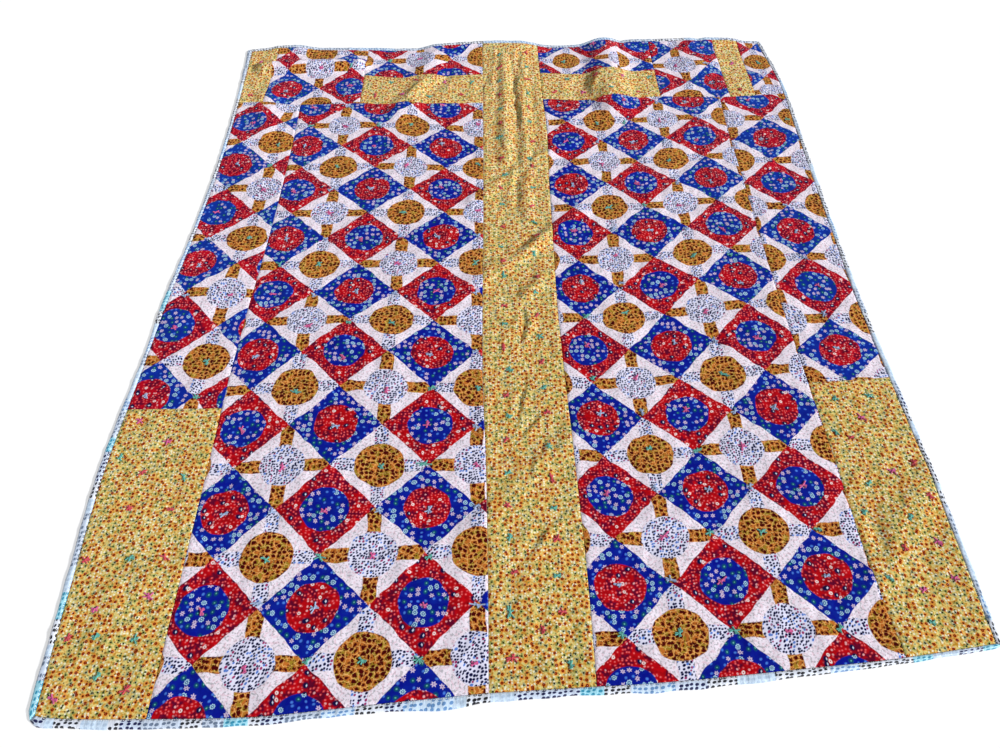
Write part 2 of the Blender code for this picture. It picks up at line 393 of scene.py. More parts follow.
@dataclass
class LyingCloth:
    """The quilt's surface as it lies: folds, creases, puckers round the ties and a gentle swell."""

    ties: list[Tie] = field(default_factory=list)
    puff: Swell = Swell(0.0007, 0.05, 0.22, 11)
    crumple: Swell = Swell(0.00042, 0.020, 0.05, 12)
    dimple_depth: float = 0.0020
    dimple_radius: float = 0.012
    pucker_height: float = 0.0009
    pucker_reach: float = 0.034
    pucker_limit: float = 0.08  # how far from a tie its puckers are still reckoned
    pucker_rays: tuple[int, int] = (4, 7)  # how many a tie has, from the first to below the last
    pucker_seed: int = 21
    seam_roll: float = 0.011  # over which the cloth thickens beside a seam
    seam_hold: float = 0.03  # over which a seam still holds the relief down
    held_relief: float = 0.35  # the relief's share at a seam
    thinnest: float = 0.0022

    def lift(self, x: Array, y: Array) -> Array:
        """How far the underside stands off the ground at each place."""
        return np.max([fold.rise(x, y) for fold in FOLDS], axis=0)

    def puckers(self, x: Array, y: Array) -> Array:
        """The dimple at each tie and the small creases that run out from it.

        Args:
            x: Places across the quilt.
            y: Places along the quilt.

        Returns:
            The heights.
        """
        total = np.zeros_like(x)
        draw = np.random.default_rng(self.pucker_seed)
        limit = self.pucker_limit
        for tie in self.ties:
            rays, phase = draw.integers(*self.pucker_rays), draw.uniform(0, 2 * pi)
            near = (np.abs(x - tie.x) < limit) & (np.abs(y - tie.y) < limit)
            if not near.any():
                continue
            dx, dy = x[near] - tie.x, y[near] - tie.y
            away = np.hypot(dx, dy)
            ray = np.cos(rays * np.arctan2(dy, dx) + phase)
            share = away / self.pucker_reach
            total[near] -= self.dimple_depth * np.exp(-((away / self.dimple_radius) ** 2))
            total[near] += self.pucker_height * ray * share * np.exp(0.5 - 1.5 * share**2)
        return total

    def upper(self, x: Array, y: Array, from_seam: Array) -> Array:
        """The height of the upper side.

        Args:
            x: Places across the quilt.
            y: Places along the quilt.
            from_seam: How far each place is from the nearest seam.

        Returns:
            The heights above the ground.
        """
        roll = 1 - (1 - np.minimum(from_seam / self.seam_roll, 1.0)) ** 2
        free = np.minimum(from_seam / self.seam_hold, 1.0)
        creases = sum(crease.rise(x, y) for crease in CREASES)
        relief = self.puff.rise(x, y) + self.crumple.rise(x, y) + self.puckers(x, y) * roll
        height = SEAM_THICKNESS + (THICKNESS - SEAM_THICKNESS) * roll
        height += relief * (self.held_relief + (1 - self.held_relief) * free) + creases
        return self.lift(x, y) + np.maximum(height, self.thinnest)


# ---------------------------------------------------------------- shader recipes

Number = Union[float, "Wire"]
Colour = Union[str, "Wire"]  # a constant colour is given by its six hexadecimal digits


def dye(code: str) -> tuple[float, float, float, float]:
    """The linear colour, with its alpha, of six hexadecimal digits.

    Args:
        code: The six digits.

    Returns:
        Red, green, blue and alpha, from 0 to 1.
    """
    parts = [int(code[k : k + 2], 16) / 255 for k in (0, 2, 4)]
    red, green, blue = (p / 12.92 if p <= 0.04045 else ((p + 0.055) / 1.055) ** 2.4 for p in parts)
    return red, green, blue, 1.0


class Wire:
    """A value or colour that varies over a surface. Arithmetic on it adds Math nodes."""

    def __init__(self, recipe: "Recipe", socket: bpy.types.NodeSocket) -> None:
        """Wraps one output socket of a recipe's nodes."""
        self.recipe = recipe
        self.socket = socket

    def __add__(self, other: Number) -> "Wire":
        """The sum."""
        return self.recipe.maths("ADD", self, other)

    __radd__ = __add__

    def __sub__(self, other: Number) -> "Wire":
        """The difference."""
        return self.recipe.maths("SUBTRACT", self, other)

    def __rsub__(self, other: Number) -> "Wire":
        """The difference from a number."""
        return self.recipe.maths("SUBTRACT", other, self)

    def __mul__(self, other: Number) -> "Wire":
        """The product."""
        return self.recipe.maths("MULTIPLY", self, other)

    __rmul__ = __mul__

    def __truediv__(self, other: Number) -> "Wire":
        """The quotient."""
        return self.recipe.maths("DIVIDE", self, other)

    def __abs__(self) -> "Wire":
        """The size without its sign."""
        return self.recipe.maths("ABSOLUTE", self)

    def __round__(self) -> "Wire":
        """The nearest whole number."""
        return self.recipe.maths("ROUND", self)

    def scaled(self, gain: Number, offset: Number, clamp: bool = False) -> "Wire":
        """This times a gain plus an offset, held between 0 and 1 if it is clamped."""
        return self.recipe.maths("MULTIPLY_ADD", self, gain, offset, clamp=clamp)

    def below(self, edge: Number, soft: float) -> "Wire":
        """1 where this is under an edge and 0 over it, changing over a soft width."""
        return (edge - self).scaled(1 / soft, 0.5, clamp=True)

    def above(self, edge: Number, soft: float) -> "Wire":
        """1 where this is over an edge and 0 under it, changing over a soft width."""
        return (self - edge).scaled(1 / soft, 0.5, clamp=True)


@dataclass(frozen=True)
class Scatter:
    """Motifs scattered over a cloth, as seen from a point: the nearest one's place and chances."""

    recipe: "Recipe"
    reach: Wire  # metres from the motif's middle
    east: Wire  # metres to the right of it
    north: Wire
    chance: Wire  # 0 to 1, the same all over one motif
    shade: Wire  # a second chance

    def petals(self, count: int, radius: float, depth: float, soft: float) -> Wire:
        """A flower or a star in each motif's middle.

        Args:
            count: How many petals or points.
            radius: The outline's mean radius, in metres.
            depth: How far the petals stand out and in, as a share of the radius.
            soft: The width over which the outline fades.

        Returns:
            The mask.
        """
        angle = self.recipe.maths("ARCTAN2", self.north, self.east) + self.shade * (2 * pi)
        wave = self.recipe.maths("COSINE", angle * count)
        return (wave.scaled(depth * radius, radius) - self.reach).above(0.0, soft)

    def spot(self, radius: Number, soft: float) -> Wire:
        """A round spot in each motif's middle."""
        return self.reach.below(radius, soft)

    def ring(self, radius: float, half_width: float, soft: float) -> Wire:
        """A ring round each motif's middle."""
        return abs(self.reach - radius).below(half_width, soft)

    def one_of(self, low: float, high: float) -> Wire:
        """1 for the motifs whose chance lies between two shares."""
        return self.chance.above(low, 0.001) * self.chance.below(high, 0.001)


class Recipe:
    """The nodes of one material."""

    def __init__(self, name: str) -> None:
        """Starts an empty material of this name.

        Args:
            name: The material's name.
        """
        self.material = bpy.data.materials.new(name)
        self.material.use_nodes = True
        self.nodes = self.material.node_tree.nodes
        self.links = self.material.node_tree.links
        self.nodes.clear()

    def node(
        self,
        kind: str,
        settings: Mapping[str, Any] | None = None,
        sockets: Mapping[str | int, Any] | None = None,
    ) -> bpy.types.Node:
        """Any node.

        Args:
            kind: Its type.
            settings: Its properties, set first.
            sockets: The value, colour code or wire of each of its inputs, by name or place.

        Returns:
            The node.
        """
        made = self.nodes.new(kind)
        for name, value in (settings or {}).items():
            setattr(made, name, value)
        for key, value in (sockets or {}).items():
            socket = made.inputs[key]
            if isinstance(value, Wire):
                self.links.new(value.socket, socket)
            else:
                socket.default_value = dye(value) if isinstance(value, str) else value
        return made

    def wire(
        self,
        output: str | int,
        kind: str,
        settings: Mapping[str, Any] | None = None,
        sockets: Mapping[str | int, Any] | None = None,
    ) -> Wire:
        """One output of a new node, which is described as node() takes it."""
        return Wire(self, self.node(kind, settings, sockets).outputs[output])

    def maths(self, operation: str, *terms: Number, clamp: bool = False) -> Wire:
        """A Math node on values and wires."""
        settings = {"operation": operation, "use_clamp": clamp}
        return self.wire(0, "ShaderNodeMath", settings, dict(enumerate(terms)))

    def distance(self, east: Wire, north: Wire) -> Wire:
        """How far a point lies from the middle."""
        return self.maths("SQRT", east * east + north * north)

    def mix(self, share: Number, first: Colour, second: Colour) -> Wire:
        """A colour between two, the second one at share 1."""
        sockets = {0: share, 6: first, 7: second}
        return self.wire(2, "ShaderNodeMix", {"data_type": "RGBA"}, sockets)

    def painted(self, ground: Colour, *coats: tuple[Number, Colour]) -> Wire:
        """A ground colour with coats painted over it in order, each a mask and a colour.

        Args:
            ground: The colour under the coats.
            coats: The mask and the colour of each coat.

        Returns:
            The painted colour.
        """
        for mask, colour in coats:
            ground = self.mix(mask, ground, colour)
        return ground

    def place(self, east: Number, north: Number) -> Wire:
        """A vector from two numbers."""
        return self.wire(0, "ShaderNodeCombineXYZ", None, {0: east, 1: north})

    def vector(self, operation: str, *terms: Any) -> Wire:
        """A Vector Math node."""
        settings = {"operation": operation}
        return self.wire(0, "ShaderNodeVectorMath", settings, dict(enumerate(terms)))

    def parts(self, vector: Wire) -> tuple[Wire, Wire, Wire]:
        """The three numbers of a vector or a colour."""
        made = self.node("ShaderNodeSeparateXYZ", None, {0: vector})
        return Wire(self, made.outputs[0]), Wire(self, made.outputs[1]), Wire(self, made.outputs[2])

    def cloth_place(self) -> tuple[Wire, Wire]:
        """Where a point lies on the cloth, in metres, from the piece's own map."""
        return self.parts(self.wire(0, "ShaderNodeUVMap", {"uv_map": CLOTH_MAP}))[:2]

    def object_place(self) -> Wire:
        """Where a point lies on the piece, in metres."""
        return self.wire("Object", "ShaderNodeTexCoord")

    def attribute(self, name: str, output: str = "Fac") -> Wire:
        """A piece's own attribute, as a number or as its Color output."""
        return self.wire(output, "ShaderNodeAttribute", {"attribute_name": name})

    def noise(self, place: Wire, size: float, detail: float = 2.0, rough: float = 0.5) -> Wire:
        """Soft noise from 0 to 1 about blobs of a size, in metres."""
        sockets = {"Vector": place, "Scale": 1 / size, "Detail": detail, "Roughness": rough}
        return self.wire(0, "ShaderNodeTexNoise", {"noise_dimensions": "2D"}, sockets)

    def voronoi(
        self, place: Wire, spacing: float, disorder: float, feature: str = "F1"
    ) -> bpy.types.Node:
        """A flat Voronoi texture whose cells stand at a spacing, in metres.

        Args:
            place: Where on the cloth, in metres.
            spacing: How far apart the cells stand.
            disorder: How far they stray from a grid, from 0 to 1.
            feature: What the texture measures.

        Returns:
            The texture's node.
        """
        settings = {"voronoi_dimensions": "2D", "feature": feature}
        sockets = {"Vector": place, "Scale": 1 / spacing, "Randomness": disorder}
        return self.node("ShaderNodeTexVoronoi", settings, sockets)

    def scatter(self, place: Wire, spacing: float, disorder: float) -> Scatter:
        """Motifs scattered at a spacing.

        Args:
            place: Where on the cloth, in metres.
            spacing: The mean distance between motifs, in metres.
            disorder: From 0, in rows, to 1, anyhow.

        Returns:
            The scatter.
        """
        made = self.voronoi(place, spacing, disorder)
        away = self.vector("SUBTRACT", place, Wire(self, made.outputs["Position"]))
        east, north, _ = self.parts(away)
        chance, shade, _ = self.parts(Wire(self, made.outputs["Color"]))
        reach = Wire(self, made.outputs["Distance"]) * spacing
        return Scatter(self, reach, east, north, chance, shade)

    def toned(self, colour: Wire, value: Number, saturation: Number = 1.0) -> Wire:
        """A colour made lighter or darker, and fuller or paler."""
        sockets = {"Color": colour, "Value": value, "Saturation": saturation}
        return self.wire(0, "ShaderNodeHueSaturation", None, sockets)

    def finished(
        self, colour: Wire, roughness: Number, relief: Wire, constants: Mapping[str, Any] | None = None
    ) -> bpy.types.Material:
        """Closes the recipe with its shader.

        Args:
            colour: Base colour.
            roughness: Roughness.
            relief: Height of the small relief, in metres.
            constants: Numbers that are the same all over, by socket.

        Returns:
            The material.
        """
        bump = {"Strength": 1.0, "Distance": 1.0, "Height": relief}
        normal = self.wire(0, "ShaderNodeBump", None, bump)
        sockets = {"Base Color": colour, "Roughness": roughness, "Normal": normal}
        shader = self.wire(0, "ShaderNodeBsdfPrincipled", None, {**sockets, **(constants or {})})
        self.node("ShaderNodeOutputMaterial", None, {"Surface": shader})
        return self.material


# ---------------------------------------------------------------- finishes

CLOTH_MAP = "cloth"  # where each point lies on the flat cloth, in metres
BAKE_MAP = "OFBake"
SEAM_ATTRIBUTE = "from_seam"
DOT_ATTRIBUTE = "dot_dye"
GROUND_ATTRIBUTE = "ground_dye"
SEAM_LIMIT = 0.05  # the seam attribute counts no further than this
REPEAT = 0.2156  # the print's squares on point, from corner to corner


@dataclass(frozen=True)
class Cotton:
    """What every cotton cloth has: its weave, its wear and the small wrinkles of the quilting."""

    weave: float = 0.0011  # spacing of the threads
    weave_depth: float = 0.00005
    wrinkle_depth: float = 0.0016
    gather_depth: float = 0.0022  # of the gathers beside a seam
    # painted shade: the share by which the cloth is painted darker just in a seam
    seam_shade: float = 0.06  # how much darker it is in a seam
    roughness: float = 0.82

    SHEEN: ClassVar[dict[str, float]] = {
        "Sheen Weight": 0.02, "Sheen Roughness": 0.5, "Specular IOR Level": 0.03,
    }

    def finished(
        self, recipe: Recipe, colour: Wire, east: Wire, north: Wire, value: Wire, full: Number = 1.0
    ) -> bpy.types.Material:
        """Wears, weaves and wrinkles a printed cotton and closes its recipe.

        The dye is unevenly washed out, painted shade makes it a little darker in the seams,
        and the wrinkles of the quilting are deeper beside a seam.

        Args:
            recipe: The material's recipe.
            colour: The colour as new.
            east: Place on the cloth, in metres.
            north: The same along it.
            value: How light the cloth is from place to place, with painted light that makes it lighter
                towards the head.
            full: Its saturation.

        Returns:
            The material.
        """
        place = recipe.place(east, north)
        from_seam = recipe.attribute(SEAM_ATTRIBUTE)
        faded = recipe.noise(place, 0.16, 3.0, 0.6)
        # painted shade: the colour is darkened just at a seam, where the cloth dips
        seam_shade = from_seam.below(0.0015, 0.004) * self.seam_shade
        worn_and_seam_shaded = recipe.toned(colour, faded.scaled(0.24, 0.88) - seam_shade)
        wrinkles = recipe.noise(place, 0.030, 3.0, 0.55) * self.wrinkle_depth
        gathers = recipe.noise(place, 0.009, 1.0) * from_seam.below(0.007, 0.016)
        warp = recipe.maths("SINE", east * (2 * pi / self.weave))
        weft = recipe.maths("SINE", north * (2 * pi / self.weave))
        relief = wrinkles + gathers * self.gather_depth + warp * weft * self.weave_depth
        return recipe.finished(recipe.toned(worn_and_seam_shaded, value, full), self.roughness, relief, self.SHEEN)


@dataclass(frozen=True)
class SquaresPrint:
    """Printed squares on point, red and blue by turns on white, each with a round in its middle.

    The white squares between them have brown rounds with dotted bars, or dotted rounds with
    brown bars, by turns.
    """

    name: str = "squares_on_point_print"
    round_radius: float = 0.239  # in repeats, as the next four
    brown_radius: float = 0.256
    dotted_radius: float = 0.237
    bar_half_width: float = 0.0725
    edge: float = 0.007
    waver: float = 0.046
    waver_size: float = 0.045  # in metres, as the motifs' spacings that follow
    flower_spacing: float = 0.0190
    motif_spacing: float = 0.0138
    dot_spacing: float = 0.0074
    spot_spacing: float = 0.0064
    pebble_spacing: float = 0.0106
    speck_spacing: float = 0.0058
    cotton: Cotton = Cotton()

    def blue(self, recipe: Recipe, motifs: Scatter, faded: Wire) -> Wire:
        """Cobalt cloth with pale ring flowers, pink stars, green rosettes and light dots.

        Args:
            recipe: The material's recipe.
            motifs: Where they stand.
            faded: How far the dye has faded, from 0 to 1.

        Returns:
            The colour.
        """
        ring = motifs.one_of(0.0, 0.22)
        star = motifs.one_of(0.22, 0.47)
        rosette = motifs.one_of(0.47, 0.68)
        dot = motifs.one_of(0.68, 1.01)
        deep = recipe.noise(recipe.place(motifs.east * 0.2 + motifs.shade, motifs.chance), 0.5, 1.0)
        return recipe.painted(
            recipe.mix(faded, recipe.mix(deep, "06088E", "0A289C"), "0C44A8"),
            (motifs.spot(0.0025, 0.0024) * dot, "4C82E4"),
            (motifs.petals(8, 0.0049, 0.14, 0.0012) * ring, "B0D8EC"),
            (motifs.ring(0.0022, 0.0008, 0.0006) * ring, "2A5C9C"),
            (motifs.spot(0.0009, 0.0006) * ring, "BFE4DC"),
            (motifs.petals(6, 0.0041, 0.30, 0.0013) * star, "D0BEDC"),
            (motifs.spot(0.0012, 0.0006) * star, "8A5A90"),
            (motifs.spot(0.0044, 0.0036) * rosette, "0C5068"),
            (motifs.spot(0.0013, 0.0014) * rosette, "6CC0B4"),
        )

    def red(self, recipe: Recipe, flowers: Scatter, dots: Scatter, faded: Wire) -> Wire:
        """Red cloth with orange dots, white rings, plum blotches and navy buds.

        Args:
            recipe: The material's recipe.
            flowers: Where the flowers stand.
            dots: Where the small dots lie.
            faded: How far the dye has faded, from 0 to 1.

        Returns:
            The colour.
        """
        ring = flowers.one_of(0.0, 0.17)
        blotch = flowers.one_of(0.17, 0.74)
        bud = flowers.one_of(0.74, 0.93)
        ring_edge = flowers.ring(0.0024, 0.0012, 0.0010) * ring
        comma = abs(flowers.east - 0.0016) + abs(flowers.north) * 0.6
        orange = dots.one_of(0.10, 0.80)
        pink = dots.spot(0.0021, 0.0012) * dots.one_of(0.80, 0.95)
        uneven = recipe.noise(recipe.place(flowers.east, flowers.north), 0.012, 1.0).above(0.5, 0.3)
        ground = recipe.mix(uneven, "A00410", "C40612")
        return recipe.painted(
            recipe.mix(faded * 0.8, ground, "AC0438"),
            (flowers.petals(5, 0.0092, 0.24, 0.0070) * blotch * 0.9, "54042C"),
            (dots.spot(0.0023, 0.0018) * orange, "DA3438"),
            (dots.spot(0.0010, 0.0012) * orange, "EC7C80"),
            (pink, "EBA4A8"),
            (ring_edge, "F8E0DE"),
            (flowers.spot(0.0080, 0.0040) * bud * 0.7, "6A0428"),
            (flowers.spot(0.0052, 0.0014) * bud, "130E40"),
            (comma.below(0.0018, 0.0010) * flowers.spot(0.0046, 0.0008) * bud, "DCDCF0"),
        )

    def brown(self, recipe: Recipe, place: Wire) -> Wire:
        """Gold and olive cloth with dark pebbles in a bright broken net, and small dark specks.

        Args:
            recipe: The material's recipe.
            place: Place on the cloth, in metres.

        Returns:
            The colour.
        """
        east, north, _ = recipe.parts(place)
        push = recipe.noise(place, 0.007, 1.0) * 0.006
        push_2 = recipe.noise(recipe.place(north + 2.7, east), 0.007, 1.0) * 0.006
        bent = recipe.place(east + push, north + push_2)
        disorder = 0.8
        pebbles = recipe.scatter(bent, self.pebble_spacing, disorder)
        specks = recipe.scatter(recipe.place(east + 0.4, north + 0.9), self.speck_spacing, 0.9)
        net = recipe.voronoi(bent, self.pebble_spacing, disorder, "DISTANCE_TO_EDGE")
        line = Wire(recipe, net.outputs["Distance"]).below(0.045, 0.09)
        olive = recipe.noise(place, 0.014, 1.0).above(0.56, 0.14)
        size = pebbles.shade.scaled(0.0020, 0.0025)
        return recipe.painted(
            recipe.mix(olive * 0.75, "C4702C", "928824"),
            (line, "F4C070"),
            (specks.spot(0.0014, 0.0009) * specks.one_of(0.0, 0.55), "661C0C"),
            (pebbles.spot(size, 0.0014) * pebbles.one_of(0.12, 1.01), "4C0606"),
        )

    def dotted(self, recipe: Recipe, dots: Scatter) -> Wire:
        """White cloth with slanting navy dots and a few pink ones.

        Args:
            recipe: The material's recipe.
            dots: Where the dots lie.

        Returns:
            The colour.
        """
        slant, width = dots.east + dots.north, dots.east - dots.north
        oval = recipe.maths("SQRT", slant * slant * 0.36 + width * width * 0.66)
        size = dots.shade.scaled(0.0010, 0.0017)
        dot = oval.below(size, 0.0009)
        halo = oval.below(size + 0.0006, 0.0010) * 0.4
        return recipe.painted(
            "E9E8FC",
            (halo, "9CA8E6"),
            (dot * dots.one_of(0.0, 0.74), "0A0A3C"),
            (dot * dots.one_of(0.74, 0.86), "A43068"),
            (dot * dots.one_of(0.86, 1.01), "5A86D8"),
        )

    def white(self, recipe: Recipe, place: Wire) -> Wire:
        """Lavender white cloth with a faint mottle of grey and pink sprigs.

        Args:
            recipe: The material's recipe.
            place: Place on the cloth, in metres.

        Returns:
            The colour.
        """
        grey = recipe.noise(place, 0.0050, 2.0).above(0.58, 0.10)
        apart = recipe.vector("ADD", place, (5.0, 7.0, 0.0))
        pink = recipe.noise(apart, 0.0060, 1.0).above(0.60, 0.12)
        return recipe.painted(
            "FBF0FC", (grey * 0.70, "A6A8AE"), (pink * 0.38, "E4ACBE")
        )

    def make(self) -> bpy.types.Material:
        """The print's material.

        Returns:
            The material.
        """
        recipe = Recipe(self.name)
        flat_east, flat_north = recipe.cloth_place()
        flat = recipe.place(flat_east, flat_north)
        drift = recipe.noise(flat, self.waver_size, 1.0)
        drift_2 = recipe.noise(recipe.place(flat_north + 3.1, flat_east), self.waver_size, 1.0)
        east = flat_east / REPEAT + (drift - 0.5) * self.waver
        north = flat_north / REPEAT + (drift_2 - 0.5) * self.waver
        place = recipe.place(east * REPEAT, north * REPEAT)
        turned = recipe.place(north * REPEAT, east * REPEAT)
        flowers = recipe.scatter(place, self.flower_spacing, 0.85)
        motifs = recipe.scatter(place, self.motif_spacing, 0.72)
        dots = recipe.scatter(place, self.dot_spacing, 0.78)
        spots = recipe.scatter(turned, self.spot_spacing, 0.72)

        whole_east, whole_north = round(east), round(north)
        in_east, in_north = east - whole_east, north - whole_north
        square = (abs(in_east) + abs(in_north)).below(0.5, self.edge)
        turn = recipe.maths("PINGPONG", whole_east + whole_north, 1.0)
        middle = recipe.distance(in_east, in_north)
        disc = middle.below(self.round_radius, self.edge)
        is_blue = recipe.maths("ABSOLUTE", turn - disc)

        low_east, low_north = recipe.maths("FLOOR", east), recipe.maths("FLOOR", north)
        gap_east, gap_north = abs(east - low_east - 0.5), abs(north - low_north - 0.5)
        white_turn = recipe.maths("PINGPONG", low_east + low_north, 1.0)
        white_middle = recipe.distance(gap_east, gap_north)
        radius = self.brown_radius - white_turn * (self.brown_radius - self.dotted_radius)
        white_disc = white_middle.below(radius, self.edge)
        bar = recipe.maths("MINIMUM", gap_east, gap_north).below(self.bar_half_width, self.edge)
        bar = bar * (1 - white_disc)
        is_brown = white_disc * (1 - white_turn) + bar * white_turn
        is_dotted = white_disc * white_turn + bar * (1 - white_turn)

        light = recipe.painted(
            self.white(recipe, place),
            (is_dotted, self.dotted(recipe, spots)),
            (is_brown, self.brown(recipe, place)),
        )
        spot_x, spot_y, _ = recipe.parts(recipe.object_place())
        outwards = abs(spot_x).scaled(0.7, -0.24)
        faded = spot_y.scaled(0.28, outwards, clamp=True)
        blue = self.blue(recipe, motifs, faded)
        full = recipe.mix(is_blue, self.red(recipe, flowers, dots, faded), blue)
        colour = recipe.mix(square, light, full)
        # painted light: the print is made a little lighter towards the head
        value = spot_y.scaled(0.020, 0.984)
        return self.cotton.finished(recipe, colour, flat_east, flat_north, value)


@dataclass(frozen=True)
class Calico:
    """Yellow calico with a fine scatter of orange flowers and green and teal leaves."""

    name: str = "yellow_flowered_calico"
    spacing: float = 0.0112
    speck_spacing: float = 0.0060
    cotton: Cotton = Cotton(wrinkle_depth=0.0023, roughness=0.85)

    def make(self) -> bpy.types.Material:
        """The calico's material.

        Returns:
            The material.
        """
        recipe = Recipe(self.name)
        east, north = recipe.cloth_place()
        place = recipe.place(east, north)
        motifs = recipe.scatter(place, self.spacing, 0.82)
        specks = recipe.scatter(recipe.place(east + 0.5, north + 0.3), self.speck_spacing, 0.9)
        bloom = motifs.petals(5, 0.0048, 0.14, 0.0022)
        leaf = motifs.petals(3, 0.0038, 0.30, 0.0022)
        eye = motifs.ring(0.0017, 0.0012, 0.0008)
        ringed, full = motifs.one_of(0.0, 0.36), motifs.one_of(0.36, 0.56)
        green, grey = motifs.one_of(0.56, 0.84), motifs.one_of(0.84, 1.01)
        mottle = recipe.noise(place, 0.0065, 2.0)
        ground = recipe.mix(mottle.above(0.52, 0.24), "FCE694", "CE963A")
        colour = recipe.painted(
            ground,
            (mottle.below(0.38, 0.08) * 0.5, "A8B468"),
            (bloom * (ringed + full) * 0.95, "F2A04E"),
            (leaf * green * 0.95, "A0AA60"),
            (leaf * grey * 0.95, "A8B088"),
            (specks.petals(4, 0.0018, 0.3, 0.0010) * specks.one_of(0.0, 0.38), "FFFBDC"),
            (specks.spot(0.0016, 0.0012) * specks.one_of(0.34, 0.56) * 0.85, "7C8848"),
            (specks.spot(0.0013, 0.0009) * specks.one_of(0.83, 1.01), "3A2418"),
            (eye * ringed, "84180A"),
            (motifs.spot(0.0022, 0.0014) * full, "70140A"),
            (motifs.spot(0.0018, 0.0010) * (green + grey), "201810"),
        )
        # painted light: the calico is made a little lighter and paler towards the head
        value, full = north.scaled(0.045, 0.945), north.scaled(-0.02, 1.01)
        return self.cotton.finished(recipe, colour, east, north, value, full)


@dataclass(frozen=True)
class BindingSatin:
    """Pale satiny binding pieced from plain lengths and lengths with oval dots."""

    name: str = "binding_satin_pieced"
    spacing: float = 0.0080
    stitch_pitch: float = 0.0022  # half of it, and how far the stitches stand from the seam
    stitch_length: float = 0.0014
    stitch_height: float = 0.0003
    pucker_depth: float = 0.0016

    def make(self) -> bpy.types.Material:
        """The satin's material.

        Returns:
            The material.
        """
        recipe = Recipe(self.name)
        along, across = recipe.cloth_place()
        place = recipe.place(along * 0.76 + across * 0.2, across * 1.2)
        dots = recipe.scatter(place, self.spacing, 0.45)
        dot_dye = recipe.attribute(DOT_ATTRIBUTE, "Color")
        ground_dye = recipe.attribute(GROUND_ATTRIBUTE, "Color")
        size = dots.shade.scaled(0.0006, 0.0025)
        pitch = self.stitch_pitch
        stitch = recipe.maths("PINGPONG", along, pitch).below(self.stitch_length, 0.0004)
        stitch = stitch * abs(across - pitch).below(0.0005, 0.0003)
        streaks = recipe.noise(recipe.place(along, across * 0.22), 0.012, 3.0, 0.6)
        ground = recipe.toned(ground_dye, streaks.scaled(0.14, 0.95))
        dot = dots.spot(size, 0.0005) * dots.one_of(0.0, 0.98)
        colour = recipe.painted(ground, (dot, dot_dye), (stitch, "F6F8FA"))
        puckers = recipe.noise(recipe.place(along, across * 0.25), 0.008, 2.0)
        relief = puckers * self.pucker_depth + stitch * self.stitch_height
        roughness = streaks.scaled(0.20, 0.32)
        return recipe.finished(colour, roughness, relief, {"Sheen Weight": 0.15})


@dataclass(frozen=True)
class Yarn:
    """Fuzzy wool yarn of one colour."""

    colour: YarnColour

    CODES: ClassVar[dict[YarnColour, tuple[str, str]]] = {
        YarnColour.PINK: ("C4307A", "E070A8"),
        YarnColour.RED: ("B82038", "D8505C"),
        YarnColour.TEAL: ("34988E", "74C0AE"),
        YarnColour.SKY: ("7E98C4", "B4C6E2"),
    }

    def make(self) -> bpy.types.Material:
        """The yarn's material.

        Returns:
            The material.
        """
        recipe = Recipe(f"yarn_{self.colour.value}")
        spot = recipe.object_place()
        sockets = {"Vector": spot, "Scale": 900.0, "Detail": 2.0}
        fuzz = recipe.wire(0, "ShaderNodeTexNoise", None, sockets)
        dark, light = self.CODES[self.colour]
        colour = recipe.mix(fuzz, dark, light)
        return recipe.finished(colour, 0.9, fuzz * 0.0006, {"Sheen Weight": 0.3})


@dataclass(frozen=True)
class FloorPaint:
    """A plain pale floor."""

    def make(self) -> bpy.types.Material:
        """The floor's material.

        Returns:
            The material.
        """
        recipe = Recipe("pale_floor")
        spot = recipe.object_place()
        grain = recipe.noise(spot, 0.8, 2.0)
        colour = recipe.mix(grain, "C6C6C6", "C2C2C3")
        glow = {"Emission Color": "FFFFFF", "Emission Strength": 0.52}
        return recipe.finished(colour, 0.9, grain * 0.0001, glow)


# ---------------------------------------------------------------- sheets of cloth


@dataclass(frozen=True)
class Closed:
    """A closed thin sheet's mesh, with the grid share of each vertex and which are on top."""

    mesh: bpy.types.Mesh
    across: Array
    along: Array
    top: Array


def closed_sheet(name: str, across: Array, along: Array) -> Closed:
    """A closed grid whose upper side is raised from its underside.

    Args:
        name: The mesh's name.
        across: Rising shares from 0 to 1 of the grid lines across.
        along: The same along.

    Returns:
        The mesh, still flat, and where its vertices are to go.
    """
    cells_across, cells_along = len(across) - 1, len(along) - 1
    bm = bmesh.new()
    bmesh.ops.create_grid(bm, x_segments=cells_across, y_segments=cells_along, size=1)
    raised = bmesh.ops.extrude_face_region(bm, geom=bm.faces[:])["geom"]
    for vert in (item for item in raised if isinstance(item, bmesh.types.BMVert)):
        vert.co.z = 1.0
    bmesh.ops.recalc_face_normals(bm, faces=bm.faces[:])
    mesh = bpy.data.meshes.new(name)
    bm.to_mesh(mesh)
    bm.free()
    flat = np.empty(len(mesh.vertices) * 3)
    mesh.vertices.foreach_get("co", flat)
    flat = flat.reshape(-1, 3)
    i = np.rint((flat[:, 0] + 1) / 2 * cells_across).astype(int)
    j = np.rint((flat[:, 1] + 1) / 2 * cells_along).astype(int)
    return Closed(mesh, np.asarray(across)[i], np.asarray(along)[j], flat[:, 2] > 0.5)


def eased_shares(length: float, cell: float, close: Sequence[float]) -> Array:
    """Grid lines that stand closer beside the two seams.

    Args:
        length: From seam to seam, in metres.
        cell: Spacing in between.
        close: Distances of the first lines from a seam.

    Returns:
        The lines' shares, from 0 to 1.
    """
    inner = length - 2 * close[-1]
    middle = close[-1] + np.linspace(0, inner, max(1, round(inner / cell)) + 1)
    near = np.array([0.0, *close[:-1]])
    return np.concatenate([near, middle, (length - near)[::-1]]) / length


def inset_at_ends(share: Array) -> Array:
    """How far a vertex stands back from a seam at share 0 or 1, and 0 in between."""
    return GAP / 2 * ((share == 0).astype(float) - (share == 1))


